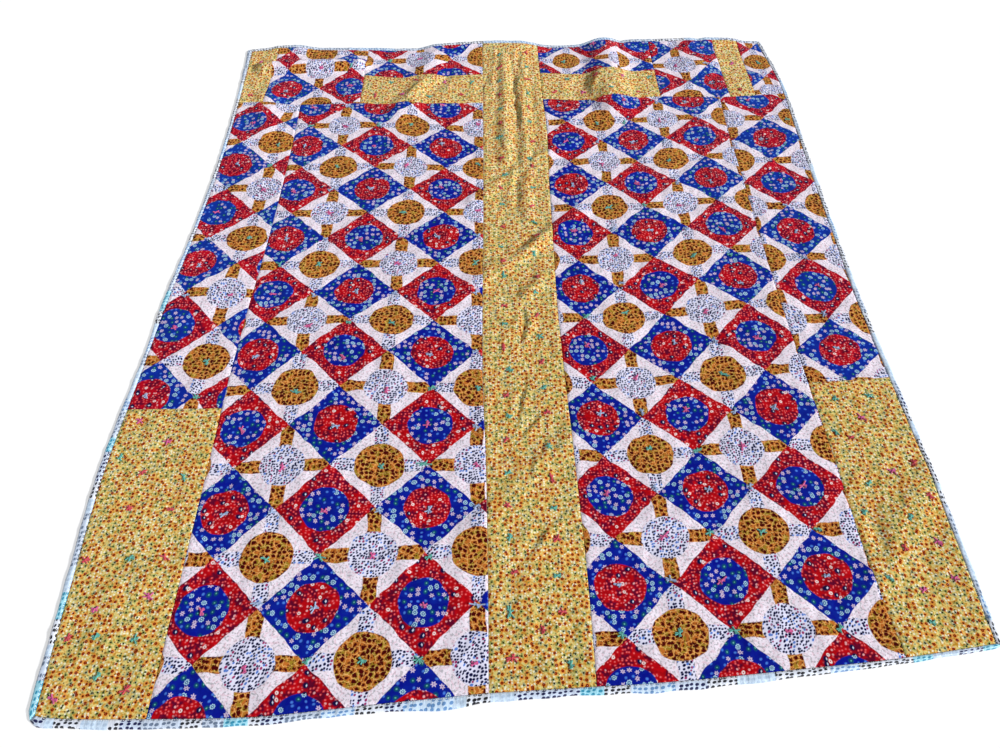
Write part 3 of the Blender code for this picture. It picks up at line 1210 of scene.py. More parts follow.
def face_corners(mesh: bpy.types.Mesh) -> Array:
    """The vertex at each corner of each face, four to a row.

    Args:
        mesh: A mesh of four-sided faces.

    Returns:
        The numbers of the vertices.
    """
    corners = np.empty(len(mesh.loops), dtype=np.int32)
    mesh.loops.foreach_get("vertex_index", corners)
    return corners.reshape(-1, 4)


def add_map(mesh: bpy.types.Mesh, name: str, east: Array, north: Array) -> None:
    """Adds a UV map from the two numbers of each face corner."""
    layer = mesh.uv_layers.new(name=name)
    layer.uv.foreach_set("vector", np.stack([east.ravel(), north.ravel()], axis=1).ravel())


def add_bake_map(sheet: Closed, corners: Array) -> None:
    """Adds the map for baking: the upper side over nearly the whole square.

    Args:
        sheet: The closed sheet.
        corners: Its face corners.
    """
    upper = sheet.top[corners].all(axis=1)[:, None]
    east = 0.005 + 0.99 * sheet.across[corners]
    along = sheet.along[corners]
    north = np.where(upper, 0.03 + 0.965 * along, 0.004 + 0.02 * along)
    add_map(sheet.mesh, BAKE_MAP, np.broadcast_to(east, corners.shape), north)


def add_object(name: str, data: bpy.types.ID | None) -> bpy.types.Object:
    """Makes an object of some data and links it to the scene.

    Args:
        name: The object's name.
        data: What it shows, or None.

    Returns:
        The object.
    """
    made = bpy.data.objects.new(name, data)
    bpy.context.scene.collection.objects.link(made)
    return made


def add_smooth(mesh: bpy.types.Mesh, material: bpy.types.Material) -> bpy.types.Object:
    """Makes a smooth object with one finish from a mesh.

    Args:
        mesh: The mesh, which gives the object its name.
        material: The finish.

    Returns:
        The object.
    """
    mesh.polygons.foreach_set("use_smooth", np.ones(len(mesh.polygons), dtype=bool))
    mesh.materials.clear()
    mesh.materials.append(material)
    mesh.update()
    return add_object(mesh.name, mesh)


def finish_sheet(
    sheet: Closed, places: Sequence[Array], material: bpy.types.Material
) -> bpy.types.Object:
    """Puts a sheet's vertices in their places and makes an object of it.

    Args:
        sheet: The closed sheet.
        places: The x, y and z of its vertices.
        material: Its finish.

    Returns:
        The object.
    """
    sheet.mesh.vertices.foreach_set("co", np.stack(places, axis=1).ravel())
    return add_smooth(sheet.mesh, material)


@dataclass(frozen=True)
class PrintPlace:
    """How the print lies on a patch: where one of its red squares has its middle, and its turn."""

    x: float
    y: float
    repeat: float
    turn: float  # degrees

    def on_print(self, x: Array, y: Array) -> tuple[Array, Array]:
        """Places on the quilt as places on the print.

        Args:
            x: Places across the quilt.
            y: Places along the quilt.

        Returns:
            The two numbers on the print, in metres of it.
        """
        dx, dy = (x - self.x) / self.repeat * REPEAT, (y - self.y) / self.repeat * REPEAT
        turn = radians(self.turn)
        return dx * cos(turn) + dy * sin(turn), dy * cos(turn) - dx * sin(turn)

    def on_quilt(self, across: float, along: float) -> tuple[float, float]:
        """A place on the print, in repeats, as a place on the quilt.

        Args:
            across: Repeats across the print.
            along: Repeats along it.

        Returns:
            The x and y of the place.
        """
        turn = radians(self.turn)
        return (
            self.x + self.repeat * (across * cos(turn) - along * sin(turn)),
            self.y + self.repeat * (across * sin(turn) + along * cos(turn)),
        )


@dataclass(frozen=True)
class Tuck:
    """A line past which the print lies in another place, because the cloth between is tucked away."""

    x: float
    y: float
    heading: float  # degrees; the far side is to the left of it
    width: float  # of the band over which it passes; 0 at a seam
    beyond: PrintPlace

    def share(self, x: Array, y: Array) -> Array:
        """How far each face's corners are past the line.

        Args:
            x: The corners' places, four to a row.
            y: The same.

        Returns:
            Shares from 0 to 1, the same all over a face at a seam.
        """
        heading = radians(self.heading)
        past = (y - self.y) * cos(heading) - (x - self.x) * sin(heading)
        if self.width == 0:
            return np.broadcast_to(past.mean(axis=1)[:, None] > 0, past.shape).astype(float)
        return np.clip(past / self.width, 0.0, 1.0)


@dataclass(frozen=True)
class Slip:
    """Where the print is pulled aside by the quilting, softly round one place."""

    x: float
    y: float
    reach_x: float
    reach_y: float
    pull_x: float
    pull_y: float

    def pull(self, x: Array, y: Array) -> tuple[Array, Array]:
        """How far the print is pulled across and along at each place, in metres."""
        share = hump(np.hypot((x - self.x) / self.reach_x, (y - self.y) / self.reach_y))
        return self.pull_x * share, self.pull_y * share


@dataclass(frozen=True)
class Patch:
    """One piece of the patchwork: the solid it stands for, its seams and how its cloth lies."""

    node: str
    name: str
    left: int
    right: int
    foot: int
    head: int
    printed: PrintPlace | None = None
    tuck: Tuck | None = None
    slips: tuple[Slip, ...] = ()
    cell: float = 0.0065

    CLOSE: ClassVar[tuple[float, ...]] = (0.0012, 0.0030, 0.0056, 0.0090)  # lines at a seam

    def seams(self) -> tuple[SeamLine, SeamLine, SeamLine, SeamLine]:
        """The seam lines on its left, right, foot and head sides."""
        return COLUMNS[self.left], COLUMNS[self.right], ROWS[self.foot], ROWS[self.head]

    def size(self) -> tuple[float, float]:
        """Its mean width and length, in metres.

        Returns:
            The width and the length.
        """
        middle, ends = np.array([0.5, 0.5]), np.array([0.0, 1.0])
        x, _ = between(*self.seams(), ends, middle)
        _, y = between(*self.seams(), middle, ends)
        return float(x[1] - x[0]), float(y[1] - y[0])

    def holds(self, x: float, y: float, margin: float) -> bool:
        """Whether a place lies on the patch, clear of its seams by a margin.

        Args:
            x: The place across the quilt.
            y: The place along the quilt.
            margin: How far it has to be from each seam.

        Returns:
            True if it does.
        """
        left, right, foot, head = self.seams()
        inside_x = left.at(y) + margin < x < right.at(y) - margin
        return bool(inside_x and foot.at(x) + margin < y < head.at(x) - margin)

    def make(self, cloth: LyingCloth, material: bpy.types.Material) -> bpy.types.Object:
        """The patch's sheet, lying in its place.

        Args:
            cloth: The surface that it follows.
            material: Its finish.

        Returns:
            The piece, riding.
        """
        width, length = self.size()
        across = eased_shares(width, self.cell, self.CLOSE)
        along = eased_shares(length, self.cell, self.CLOSE)
        sheet = closed_sheet(self.name, across, along)
        x, y = between(*self.seams(), sheet.across, sheet.along)
        sides = [sheet.across * width, (1 - sheet.across) * width]
        ends = [sheet.along * length, (1 - sheet.along) * length]
        from_seam = np.min([*sides, *ends], axis=0)
        z = np.where(sheet.top, cloth.upper(x, y, from_seam), cloth.lift(x, y))
        x, y = x + inset_at_ends(sheet.across), y + inset_at_ends(sheet.along)
        self.add_maps(sheet, x, y, from_seam)
        piece = finish_sheet(sheet, (x, y, z), material)
        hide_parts(self.node)
        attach(piece, "root")
        "print_cloth" if self.printed else "yellow_calico"
        log.info("%s: %.3f by %.3f m, %d faces", self.name, width, length, len(sheet.mesh.polygons))
        return piece

    def add_maps(self, sheet: Closed, x: Array, y: Array, from_seam: Array) -> None:
        """Adds the cloth map, the bake map and the distance from the seams.

        Args:
            sheet: The closed sheet.
            x: Each vertex's place.
            y: The same.
            from_seam: Each vertex's distance from the nearest seam.
        """
        corners = face_corners(sheet.mesh)
        if self.printed is None:
            east, north = x[corners], y[corners]
        else:
            for slip in self.slips:
                pull_x, pull_y = slip.pull(x, y)
                x, y = x - pull_x, y - pull_y
            east, north = (part[corners] for part in self.printed.on_print(x, y))
            if self.tuck is not None:
                share = self.tuck.share(x[corners], y[corners])
                far_east, far_north = (part[corners] for part in self.tuck.beyond.on_print(x, y))
                east = east * (1 - share) + far_east * share
                north = north * (1 - share) + far_north * share
        add_map(sheet.mesh, CLOTH_MAP, east, north)
        add_bake_map(sheet, corners)
        layer = sheet.mesh.attributes.new(SEAM_ATTRIBUTE, "FLOAT", "POINT")
        layer.data.foreach_set("value", np.minimum(from_seam, SEAM_LIMIT).astype(np.float32))


# A patch's seams are places in COLUMNS and ROWS; the slips of its print are in millimetres.
PATCHES = (
    Patch("spine_strip", "spine_strip_cloth", 4, 5, 0, 4),
    Patch("left_cross_bar", "left_bar_cloth", 3, 4, 2, 3),
    Patch("right_cross_bar", "right_bar_cloth", 5, 6, 2, 3),
    Patch("head_left_patch", "head_left_calico", 0, 1, 2, 4),
    Patch("head_right_patch", "head_right_calico", 8, 9, 2, 4),
    Patch("foot_left_patch", "foot_left_calico", 0, 2, 0, 1),
    Patch("foot_right_patch", "foot_right_calico", 7, 10, 0, 1),
    Patch(
        "left_main_panel", "left_panel_print", 2, 4, 0, 2,
        PrintPlace(-0.6283, -0.9418, 0.2149, 0.316),
        slips=from_mm(
            Slip,
            (-450, -420, 300, 600, -4.2, 10.7),
            (-240, 380, 500, 500, 12.8, -3.2),
            (-130, 700, 300, 600, -1, -28.8),
            (-130, -900, 350, 350, 3.3, 8.2),
            (-450, -260, 500, 250, -5.2, 9),
        ),
    ),
    Patch(
        "right_main_panel", "right_panel_print", 5, 7, 0, 2,
        PrintPlace(0.4021, -0.8933, 0.2080, 0.772),
        slips=from_mm(
            Slip,
            (240, -220, 300, 600, -8.3, -17.4),
            (620, -70, 300, 600, 4.1, 23.9),
            (240, -680, 300, 600, 2.7, -11.1),
            (620, 530, 300, 600, 7.4, 19.3),
            (240, 680, 300, 600, 15.3, 8.4),
            (120, -980, 220, 260, -3.2, -7.3),
            (750, 680, 500, 250, 10.8, 4.7),
            (490, -220, 300, 600, -5, -4.8),
        ),
    ),
    Patch(
        "left_side_strip", "left_strip_print", 0, 2, 1, 2,
        PrintPlace(-0.8671, -0.1936, 0.2216, -92.335),
        slips=from_mm(
            Slip,
            (-810, -30, 400, 250, -7, 16.9),
            (-810, 600, 400, 250, -9.4, 7.8),
        ),
    ),
    Patch(
        "right_side_strip", "right_strip_print", 7, 10, 1, 2,
        PrintPlace(0.7943, -0.0768, 0.2134, 89.715),
        slips=from_mm(
            Slip,
            (840, 640, 400, 250, 25.1, 8),
            (800, -240, 400, 250, 5.7, -15.3),
        ),
    ),
    Patch(
        "head_left_print", "head_left_squares", 1, 3, 2, 4,
        PrintPlace(-0.9616, 0.8701, 0.2136, 3.172),
        Tuck(-0.67, 1.038, 0.0, 0.032, PrintPlace(-0.9999, 0.8025, 0.2180, -2.700)),
    ),
    Patch(
        "head_left_strip", "head_left_strip_print", 3, 4, 3, 4,
        PrintPlace(-0.6310, 0.9331, 0.2204, 1.990),
    ),
    Patch(
        "head_right_strip", "head_right_strip_print", 5, 6, 3, 4,
        PrintPlace(0.1089, 0.9464, 0.1882, -3.550),
        Tuck(0.386, 1.05, -90.0, 0.0, PrintPlace(-0.1419, 0.8743, 0.2107, 4.690)),
    ),
    Patch(
        "head_right_print", "head_right_squares", 6, 8, 2, 4,
        PrintPlace(0.4858, 0.8936, 0.2047, 88.975),
        slips=from_mm(
            Slip,
            (640, 890, 200, 200, 27.4, 3.4),
        ),
    ),
    Patch(
        "head_corner_print", "head_corner_squares", 9, 10, 2, 4,
        PrintPlace(0.9714, 0.9253, 0.1823, 93.920),
    ),
)


# ---------------------------------------------------------------- yarn ties


TieTable = tuple[tuple[float, float, str], ...]  # x and y in millimetres, and the colour


@dataclass
class TieWork:
    """Where the quilt is tied: by the print's rounds and corners, and in rows on the calico."""

    margin: float = 0.012
    corner_share: float = 0.6  # how many of the squares' corners are tied
    print_scatter: float = 0.004
    calico_scatter: float = 0.005
    row_start: tuple[float, float] = (0.045, 0.040)  # the first tie on a calico patch
    row_step: tuple[float, float] = (0.095, 0.080)
    strands: int = 4
    strand_radius: float = 0.0015
    strand_length: float = 0.0150
    knot_radius: float = 0.0030
    knot_reach: float = 0.0022
    fan: tuple[float, float] = (0.25, 0.65)  # least and most turn from strand to strand
    bend: float = 0.0025
    print_seed: int = 31
    calico_seed: int = 32
    strand_seed: int = 33

    # A strand at five steps along it and a knot at three: where, how high and how thick, with
    # heights and thicknesses in radii of the yarn.
    STRAND: ClassVar[Array] = np.array(
        [(-0.5, 0.7, 1.25), (-0.22, 1.1, 1.0), (0.0, 1.5, 0.9), (0.22, 1.1, 1.0), (0.5, 0.7, 1.25)]
    )
    KNOT: ClassVar[Array] = np.array([(-1.0, 0.5, 0.6), (0.0, 0.75, 1.0), (1.0, 0.5, 0.6)])
    CELLS: ClassVar[range] = range(-6, 13)  # of the print, more than any patch holds

    FOOT_LEFT: ClassVar[TieTable] = (
        (-877, -484, "pink"), (-797, -544, "pink"), (-892, -584, "teal"), (-832, -624, "red"),
        (-737, -639, "teal"), (-837, -713, "red"), (-747, -718, "red"), (-892, -833, "red"),
        (-802, -828, "teal"), (-732, -828, "red"), (-742, -912, "pink"), (-842, -937, "pink"),
        (-877, -992, "red"), (-822, -992, "teal"), (-747, -997, "teal"), (-797, -1067, "teal"),
        (-737, -1092, "red"), (-867, -1107, "pink"),
    )
    FOOT_RIGHT: ClassVar[TieTable] = (
        (747, -449, "teal"), (827, -444, "teal"), (792, -504, "pink"), (752, -559, "red"),
        (722, -544, "teal"), (817, -648, "pink"), (870, -629, "red"), (757, -678, "teal"),
        (876, -713, "red"), (727, -748, "teal"), (817, -763, "teal"), (857, -818, "pink"),
        (782, -833, "red"), (732, -898, "teal"), (862, -898, "pink"), (792, -922, "pink"),
        (787, -987, "teal"),
    )
    SPINE: ClassVar[TieTable] = (
        (86, -1057, "teal"), (-23, -1044, "red"), (37, -990, "red"), (-26, -955, "teal"),
        (77, -955, "red"), (71, -881, "teal"), (-15, -871, "red"), (75, -800, "red"),
        (-23, -794, "teal"), (72, -728, "teal"), (-26, -721, "red"), (71, -655, "red"),
        (-24, -640, "teal"), (69, -573, "teal"), (-27, -552, "red"), (-19, -486, "teal"),
        (69, -477, "red"), (-25, -425, "red"), (65, -405, "teal"), (-15, -348, "teal"),
        (64, -326, "red"), (-29, -278, "red"), (63, -242, "teal"), (-25, -199, "teal"),
        (58, -171, "red"), (-26, -135, "red"), (58, -94, "teal"), (63, -33, "red"),
        (-25, -25, "teal"), (-27, 26, "red"), (60, 54, "teal"), (-31, 88, "teal"),
        (70, 127, "red"), (-25, 171, "red"), (65, 186, "teal"), (60, 255, "red"),
        (-26, 269, "teal"), (-29, 342, "red"), (67, 342, "teal"), (-16, 402, "teal"),
        (67, 439, "red"), (62, 478, "teal"), (-26, 480, "red"), (72, 570, "red"),
        (-30, 589, "teal"), (-27, 664, "red"), (68, 672, "teal"), (-27, 745, "teal"),
        (68, 753, "red"), (-27, 828, "red"), (68, 836, "teal"), (-27, 910, "teal"),
        (68, 918, "red"), (-27, 992, "red"), (68, 1000, "teal"), (-27, 1072, "teal"),
        (68, 1080, "red"),
    )

    def on_prints(self) -> Iterator[Tie]:
        """The ties in the print's rounds and at its squares' corners.

        Returns:
            The ties, one after another.
        """
        draw = np.random.default_rng(self.print_seed)
        for patch in PATCHES:
            if patch.printed is None:
                continue
            tuck = patch.tuck
            for i in self.CELLS:
                for j in self.CELLS:
                    even = (i + j) % 2 == 0
                    spots = (
                        (i, j, YarnColour.PINK if even else YarnColour.SKY, 1.0),
                        (i + 0.5, j + 0.5, YarnColour.TEAL if even else YarnColour.PINK, 1.0),
                        (i + 0.5, j, YarnColour.SKY, self.corner_share),
                        (i, j + 0.5, YarnColour.TEAL, self.corner_share * 0.5),
                    )
                    for across, along, colour, share in spots:
                        drawn, off = draw.random(), draw.normal(0, self.print_scatter, 2)
                        x, y = patch.printed.on_quilt(across, along)
                        x, y = x + off[0], y + off[1]
                        here = np.array([[x]]), np.array([[y]])
                        past = tuck is not None and tuck.share(*here).any()
                        if drawn < share and not past and patch.holds(x, y, self.margin):
                            yield Tie(x, y, colour)

    def on_calico(self) -> Iterator[Tie]:
        """The ties on the yellow strip, bars and patches.

        Returns:
            The ties, one after another.
        """
        draw = np.random.default_rng(self.calico_seed)
        for x, y, colour in (*self.FOOT_LEFT, *self.FOOT_RIGHT, *self.SPINE):
            yield Tie(x / MM, y / MM, YarnColour(colour))
        order = (YarnColour.RED, YarnColour.TEAL, YarnColour.PINK)
        (start_x, start_y), (step_x, step_y) = self.row_start, self.row_step
        for patch in PATCHES[1:5]:
            left, right, foot, head = patch.seams()
            low_x, high_x = float(left.at(0.9)), float(right.at(0.9))
            low_y, high_y = float(foot.at(low_x)), float(head.at(low_x))
            for row in range(5):
                for column in range(6):
                    x = low_x + start_x + step_x * column + start_x * (row % 2)
                    y = low_y + start_y + step_y * row
                    off = draw.normal(0, self.calico_scatter, 2)
                    if y < high_y and patch.holds(x + off[0], y + off[1], self.margin):
                        yield Tie(x + off[0], y + off[1], order[(row + 2 * column) % 3])

    def all(self) -> list[Tie]:
        """Every tie."""
        return [*self.on_prints(), *self.on_calico()]

    def make(self, ties: Sequence[Tie], cloth: LyingCloth) -> list[bpy.types.Object]:
        """The ties of each colour, as one piece.

        Args:
            ties: Every tie.
            cloth: The surface that they are tied through.

        Returns:
            The pieces.
        """
        made = []
        draw = np.random.default_rng(self.strand_seed)
        for colour in YarnColour:
            own = [tie for tie in ties if tie.colour is colour]
            if not own:
                continue
            curve = bpy.data.curves.new(f"ties_{colour.value}", "CURVE")
            curve.dimensions = "3D"
            curve.bevel_depth = 1.0
            curve.bevel_resolution = 0
            curve.use_fill_caps = True
            for tie in own:
                self.add_tie(curve, tie, cloth, draw)
            soft = bpy.data.objects.new(curve.name, curve)
            mesh = bpy.data.meshes.new_from_object(soft)
            mesh.name = curve.name
            bpy.data.objects.remove(soft)
            bpy.data.curves.remove(curve)
            piece = add_smooth(mesh, Yarn(colour).make())
            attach(piece, "root")
            log.info("%s: %d ties, %d faces", piece.name, len(own), len(mesh.polygons))
            made.append(piece)
        return made

    def add_tie(
        self, curve: bpy.types.Curve, tie: Tie, cloth: LyingCloth, draw: np.random.Generator
    ) -> None:
        """Adds one tie: a knot and a tuft of strands through it that lie on the cloth.

        Args:
            curve: The curve to add its splines to.
            tie: The tie.
            cloth: The surface it lies on.
            draw: Where its random turns come from.
        """
        heading = draw.uniform(0, pi)
        for strand in range(self.strands):
            turn = heading + strand * draw.uniform(*self.fan)
            length = self.strand_length * (0.8 + draw.exponential(0.22))
            bend = draw.normal(0, self.bend)
            steps, lifts, widths = self.STRAND.T
            x = tie.x + steps * length * cos(turn) - bend * (4 * steps**2) * sin(turn)
            y = tie.y + steps * length * sin(turn) + bend * (4 * steps**2) * cos(turn)
            z = cloth.upper(x, y, np.ones_like(x)) + self.strand_radius * lifts
            self.add_spline(curve, x, y, z, self.strand_radius * widths)
        across = heading + pi / 2
        steps, lifts, widths = self.KNOT.T
        x = tie.x + self.knot_reach * steps * cos(across)
        y = tie.y + self.knot_reach * steps * sin(across)
        z = cloth.upper(x, y, np.ones_like(x)) + self.knot_radius * lifts
        self.add_spline(curve, x, y, z, self.knot_radius * widths)

    @staticmethod
    def add_spline(curve: bpy.types.Curve, x: Array, y: Array, z: Array, thick: Array) -> None:
        """Adds a strand through points, each with its own thickness.

        Args:
            curve: The curve that it joins.
            x: The points' places.
            y: The same.
            z: The same.
            thick: Half the thickness at each.
        """
        spline = curve.splines.new("POLY")
        spline.points.add(len(x) - 1)
        spline.points.foreach_set("co", np.stack([x, y, z, np.ones_like(x)], axis=1).ravel())
        spline.points.foreach_set("radius", thick)


# ---------------------------------------------------------------- binding


class Length(Enum):
    """The kinds of cloth that the binding is pieced from, by the colour of their dots."""

    BLACK = ("101420", "E4EAF6")
    NAVY = ("08124E", "D2E0F6")
    GREY = ("6A7C96", "CCDAEE")
    SKY = ("6894C8", "CEE4FA")
    TEAL = ("2C94B8", "A4E0F2")
    PLAIN = ("B8CEE6", "D0E4F8")


@dataclass(frozen=True)
class BindingSide:
    """One side of the binding: the solid it stands for and the lengths it is pieced from."""

    side: str
    lengths: tuple[tuple[float, Length], ...]  # where each starts along it, and its kind

    # Its section: shares of the width, from the seam out, and the height at each.
    SECTION: ClassVar[tuple[tuple[float, float], ...]] = (
        (0.00, 0.0034), (0.08, 0.0046), (0.20, 0.0054), (0.40, 0.0057), (0.60, 0.0056),
        (0.78, 0.0053), (0.90, 0.0044), (0.97, 0.0030), (1.00, 0.0014),
    )
    # Each corner's side across, its side along and its radius.
    CORNERS: ClassVar[tuple[tuple[int, int, float], ...]] = (
        (-1, -1, 0.017), (1, -1, 0.012), (-1, 1, 0.010), (1, 1, 0.012),
    )
    CORNER_Y: ClassVar[float] = 1.14  # about how far along the corners lie
    ruffle: Swell = Swell(0.0006, 0.018, 0.060, 41)
    waver: Swell = Swell(0.0007, 0.05, 0.20, 42)
    cell: float = 0.0055
    width: float = 0.015  # about; its seams and edges say how wide it is where
    mitre_spread: float = 0.022  # over which an end runs out to the corner

    def upright(self) -> bool:
        """Whether it runs from the foot to the head."""
        return self.side in ("left", "right")

    def turned(self, first: Any, second: Any) -> tuple[Any, Any]:
        """Two things in this order if the side is upright, else the other way round."""
        return (first, second) if self.upright() else (second, first)

    def low(self) -> bool:
        """Whether it lies on the lower side of its axis."""
        return self.side in ("left", "foot")

    def inner(self, step: Array) -> tuple[Array, Array]:
        """The x and y of its inner seam at shares of its run."""
        shares = self.turned(np.full_like(step, 0.0 if self.low() else 1.0), step)
        return between(COLUMNS[0], COLUMNS[-1], ROWS[0], ROWS[-1], *shares)

    @classmethod
    def corner(cls, side_x: int, side_y: int) -> tuple[float, float]:
        """Where the quilt's edge on side_x (-1 or 1) meets that on side_y.

        Args:
            side_x: -1 for the left edge, 1 for the right.
            side_y: -1 for the foot edge, 1 for the head.

        Returns:
            The x and y of the corner.
        """
        edge_x = EDGES["left" if side_x < 0 else "right"]
        edge_y = EDGES["foot" if side_y < 0 else "head"]
        y = float(edge_y.at(float(edge_x.at(side_y * cls.CORNER_Y))))
        return float(edge_x.at(y)), y

    def outer(self, step: Array, x: Array, y: Array) -> tuple[Array, Array]:
        """Its outer edge beside each place of its inner seam, with rounded corners.

        Args:
            step: Shares of its run.
            x: The inner seam's places.
            y: The same.

        Returns:
            The x and y of each.
        """
        spread = self.mitre_spread
        run, _ = self.turned(y, x)
        begin, end = run[np.argmin(step)], run[np.argmax(step)]
        own = -1 if self.low() else 1
        ends = [self.turned(*self.corner(*self.turned(own, tip)))[1] for tip in (-1, 1)]
        push = np.maximum(1 - (run - begin) / spread, 0) ** 2 * (ends[0] - begin)
        push = push + np.maximum(1 - (end - run) / spread, 0) ** 2 * (ends[1] - end)
        out_x, out_y = self.turned(EDGES[self.side].at(run + push), run + push)
        for side_x, side_y, radius in self.CORNERS:
            corner_x, corner_y = self.corner(side_x, side_y)
            middle_x, middle_y = corner_x - side_x * radius, corner_y - side_y * radius
            dx, dy = out_x - middle_x, out_y - middle_y
            away = np.hypot(dx, dy)
            past = (dx * side_x > 0) & (dy * side_y > 0) & (away > radius)
            pull = np.where(past, radius / np.maximum(away, 1e-9), 1.0)
            out_x, out_y = middle_x + dx * pull, middle_y + dy * pull
        return out_x, out_y

    def make(self, cloth: LyingCloth, material: bpy.types.Material) -> bpy.types.Object:
        """This side's rounded strip.

        Args:
            cloth: The surface that it lies along.
            material: Its finish.

        Returns:
            The piece, riding.
        """
        reach_x, reach_y = self.inner(np.array([0.0, 1.0]))
        length = float(np.hypot(np.diff(reach_x), np.diff(reach_y))[0])
        steps = np.linspace(0, 1, round(length / self.cell) + 1)
        ribs, heights = np.array(self.SECTION).T
        sheet = closed_sheet(f"{self.side}_binding_strip", *self.turned(ribs, steps))
        rib, step = self.turned(sheet.across, sheet.along)
        in_x, in_y = self.inner(step)
        out_x, out_y = self.outer(step, in_x, in_y)
        _, run = self.turned(in_x, in_y)
        wide = float(np.hypot(out_x - in_x, out_y - in_y).mean())
        stretch = 1 + self.waver.rise(run, run * 0) / self.width * rib
        x = in_x + (out_x - in_x) * rib * stretch
        y = in_y + (out_y - in_y) * rib * stretch
        free = np.sin(pi * (rib * 0.9 + 0.05))
        ruffled = self.ruffle.rise(run, rib * 0.01) * free
        lifted = cloth.lift(in_x, in_y)
        z = np.where(sheet.top, lifted + np.interp(rib, ribs, heights) + ruffled, lifted)
        inset = GAP / 2 * (rib == 0) * (-1 if self.low() else 1)
        move_x, move_y = self.turned(inset, inset_at_ends(step))
        x, y = x + move_x, y + move_y
        corners = face_corners(sheet.mesh)
        add_map(sheet.mesh, CLOTH_MAP, run[corners], rib[corners] * self.width)
        add_bake_map(sheet, corners)
        self.add_dyes(sheet.mesh, run[corners].mean(axis=1))
        piece = finish_sheet(sheet, (x, y, z), material)
        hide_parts(f"binding_{self.side}")
        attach(piece, "root")
        log.info("%s: %.3f by %.3f m, %d faces", piece.name, wide, length, len(sheet.mesh.polygons))
        return piece

    def add_dyes(self, mesh: bpy.types.Mesh, run: Array) -> None:
        """Gives each face the colours of the length that it belongs to: its dots and its ground.

        Args:
            mesh: The strip's mesh.
            run: Where each face lies along the side.
        """
        starts = np.array([start for start, _ in self.lengths])
        chosen = np.clip(np.searchsorted(starts, run, side="right") - 1, 0, len(starts) - 1)
        for place, name in enumerate((DOT_ATTRIBUTE, GROUND_ATTRIBUTE)):
            colours = np.array([dye(kind.value[place]) for _, kind in self.lengths])[chosen]
            at_corners = np.repeat(colours, 4, axis=0).astype(np.float32)
            layer = mesh.color_attributes.new(name, "FLOAT_COLOR", "CORNER")
            layer.data.foreach_set("color", at_corners.ravel())


BLACK, NAVY, GREY, SKY, TEAL, PLAIN = Length

BINDING = (
    BindingSide("foot", (
        (-1.000, NAVY), (-0.868, PLAIN), (-0.849, BLACK), (-0.802, PLAIN), (-0.750, BLACK),
        (-0.730, NAVY), (-0.692, GREY), (-0.620, BLACK), (-0.583, GREY), (-0.544, TEAL),
        (-0.503, BLACK), (-0.478, NAVY), (-0.437, GREY), (-0.369, SKY), (-0.308, BLACK),
        (-0.257, NAVY), (-0.221, SKY), (-0.133, PLAIN), (-0.109, BLACK), (-0.067, PLAIN),
        (-0.023, NAVY), (0.099, TEAL), (0.142, BLACK), (0.195, SKY), (0.273, NAVY),
        (0.336, BLACK), (0.390, PLAIN), (0.460, BLACK), (0.568, SKY), (0.620, BLACK),
        (0.726, TEAL), (0.765, PLAIN), (0.813, NAVY), (0.866, TEAL),
    )),
    BindingSide("left", (
        (-1.200, TEAL), (-1.072, GREY), (-1.026, PLAIN), (-1.007, BLACK), (-0.956, TEAL),
        (-0.900, PLAIN), (-0.846, GREY), (-0.723, PLAIN), (-0.692, BLACK), (-0.643, NAVY),
        (-0.569, TEAL), (-0.531, GREY), (-0.452, SKY), (-0.422, PLAIN), (-0.324, GREY),
        (-0.275, SKY), (-0.225, PLAIN), (-0.182, BLACK), (-0.136, TEAL), (-0.067, GREY),
        (0.007, SKY), (0.129, BLACK), (0.187, SKY), (0.288, GREY), (0.406, BLACK),
        (0.501, SKY), (0.606, GREY), (0.719, BLACK), (0.833, PLAIN), (0.918, BLACK),
        (0.946, GREY),
    )),
    BindingSide("right", (
        (-1.200, BLACK), (-0.984, SKY), (-0.937, GREY), (-0.902, PLAIN), (-0.804, GREY),
        (-0.734, BLACK), (-0.699, PLAIN), (-0.684, BLACK), (-0.566, PLAIN), (-0.519, BLACK),
        (-0.479, NAVY), (-0.441, GREY), (-0.404, PLAIN), (-0.247, BLACK), (-0.175, GREY),
        (-0.094, PLAIN), (-0.020, BLACK), (0.097, SKY), (0.204, BLACK), (0.336, PLAIN),
        (0.435, BLACK), (0.559, GREY), (0.678, BLACK), (0.809, SKY), (0.895, BLACK),
    )),
    BindingSide("head", (
        (-1.000, BLACK), (-0.780, GREY), (-0.560, SKY), (-0.400, GREY), (-0.230, BLACK),
        (-0.080, SKY), (0.100, GREY), (0.240, SKY), (0.380, GREY), (0.520, BLACK),
        (0.640, SKY), (0.760, NAVY), (0.890, GREY),
    )),
)


# ---------------------------------------------------------------- floor, light and camera


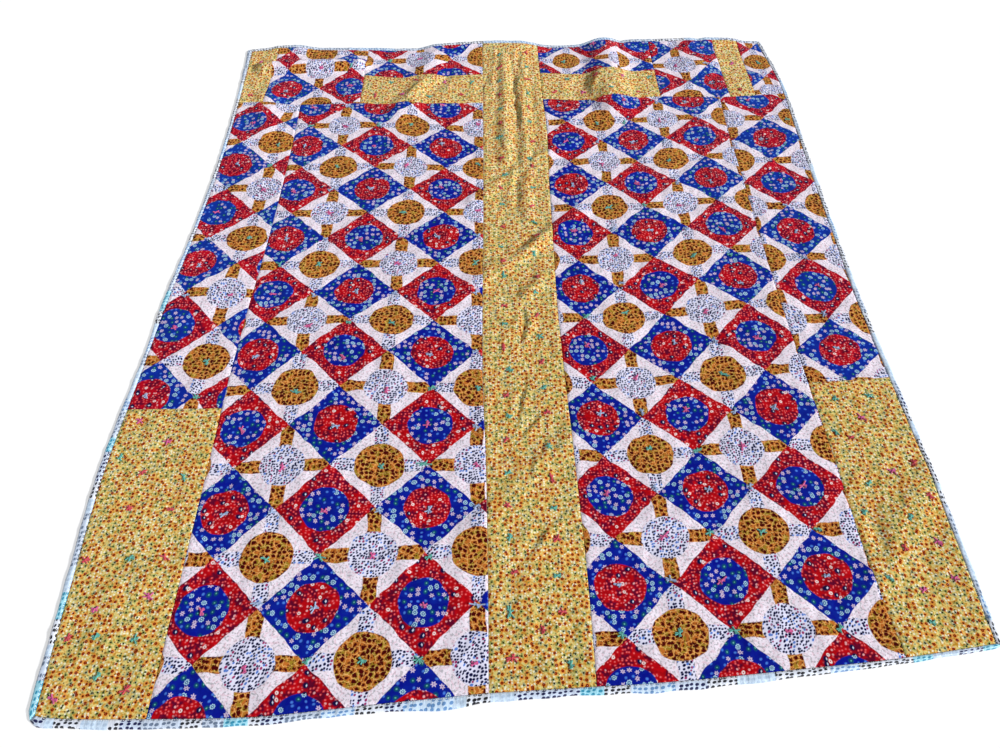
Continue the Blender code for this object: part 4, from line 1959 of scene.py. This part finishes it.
@dataclass(frozen=True)
class Studio:
    """A plain pale floor, soft light from the right and a camera at a person's height."""

    floor_half: float = 20.0
    sun_energy: float = 4.16
    sun_spread: float = 7.0  # degrees
    sun_tilt: float = 61.0  # degrees from straight down
    sun_heading: float = -18.0  # degrees from +X towards +Y, where the light comes from
    fill: float = 0.29
    camera_place: tuple[float, float, float] = (-0.0370, -1.5522, 1.5063)
    lens: float = 28.56
    pitch: float = 51.58  # degrees below the horizon
    roll: float = -0.914  # degrees, as the next
    yaw: float = 0.094
    floor_drop: float = 0.0008
    sky: tuple[float, float, float, float] = (0.93, 0.95, 1.0, 1.0)

    def add_floor(self) -> None:
        """Adds the floor just under the quilt."""
        bm = bmesh.new()
        bmesh.ops.create_grid(bm, x_segments=8, y_segments=8, size=self.floor_half)
        bmesh.ops.translate(bm, verts=bm.verts[:], vec=(0, 0, -self.floor_drop))
        mesh = bpy.data.meshes.new("floor")
        bm.to_mesh(mesh)
        bm.free()
        mesh.materials.append(FloorPaint().make())
        floor = add_object("floor", mesh)
        floor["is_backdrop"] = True

    def add_light(self) -> None:
        """Adds the main light and the even fill."""
        light = bpy.data.lights.new("window_light", "SUN")
        light.energy = self.sun_energy
        light.angle = radians(self.sun_spread)
        lamp = add_object("window_light", light)
        tilt, heading = radians(self.sun_tilt), radians(self.sun_heading)
        towards = Vector((sin(tilt) * cos(heading), sin(tilt) * sin(heading), cos(tilt)))
        lamp.rotation_mode = "QUATERNION"
        lamp.rotation_quaternion = towards.to_track_quat("Z", "Y")
        world = bpy.data.worlds.new("even_light")
        world.use_nodes = True
        sky = world.node_tree.nodes["Background"]
        sky.inputs["Color"].default_value = self.sky
        sky.inputs["Strength"].default_value = self.fill
        bpy.context.scene.world = world
        bpy.context.scene.view_settings.view_transform = "Standard"

    def add_camera(self) -> None:
        """Adds the camera at its fitted place and turn."""
        pitch, roll = radians(self.pitch), radians(self.roll)
        turn = Matrix.Rotation(radians(self.yaw), 3, "Z")
        ahead = turn @ Vector((0, cos(pitch), -sin(pitch)))
        right = turn @ Vector((1, 0, 0))
        up = turn @ Vector((0, sin(pitch), cos(pitch)))
        rolled_right = right * cos(roll) + up * sin(roll)
        rolled_up = up * cos(roll) - right * sin(roll)
        data = bpy.data.cameras.new("camera")
        data.lens = self.lens
        data.sensor_width = 36.0
        data.clip_end = 50.0
        camera = add_object("camera", data)
        axes = Matrix((rolled_right, rolled_up, -ahead)).transposed()
        camera.matrix_world = Matrix.Translation(self.camera_place) @ axes.to_4x4()
        bpy.context.scene.camera = camera

    def build(self) -> None:
        """Adds everything round the quilt."""
        self.add_camera()
        self.add_light()
        self.add_floor()


def main() -> None:
    """Builds the quilt piece by piece and reports each."""
    logging.basicConfig(level=logging.INFO, format="%(message)s")
    Studio().build()
    tie_work = TieWork()
    ties = tie_work.all()
    cloth = LyingCloth(ties)
    printed, calico, satin = SquaresPrint().make(), Calico().make(), BindingSatin().make()
    for patch in PATCHES:
        patch.make(cloth, printed if patch.printed else calico)
    for side in BINDING:
        side.make(cloth, satin)
    tie_work.make(ties, cloth)
    {"cad": [list(c) for c in SOLIDS_BOX], "visual": [list(c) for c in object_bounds()]}
    log.info("ties: %d", len(ties))


if __name__ == "__main__":
    main()
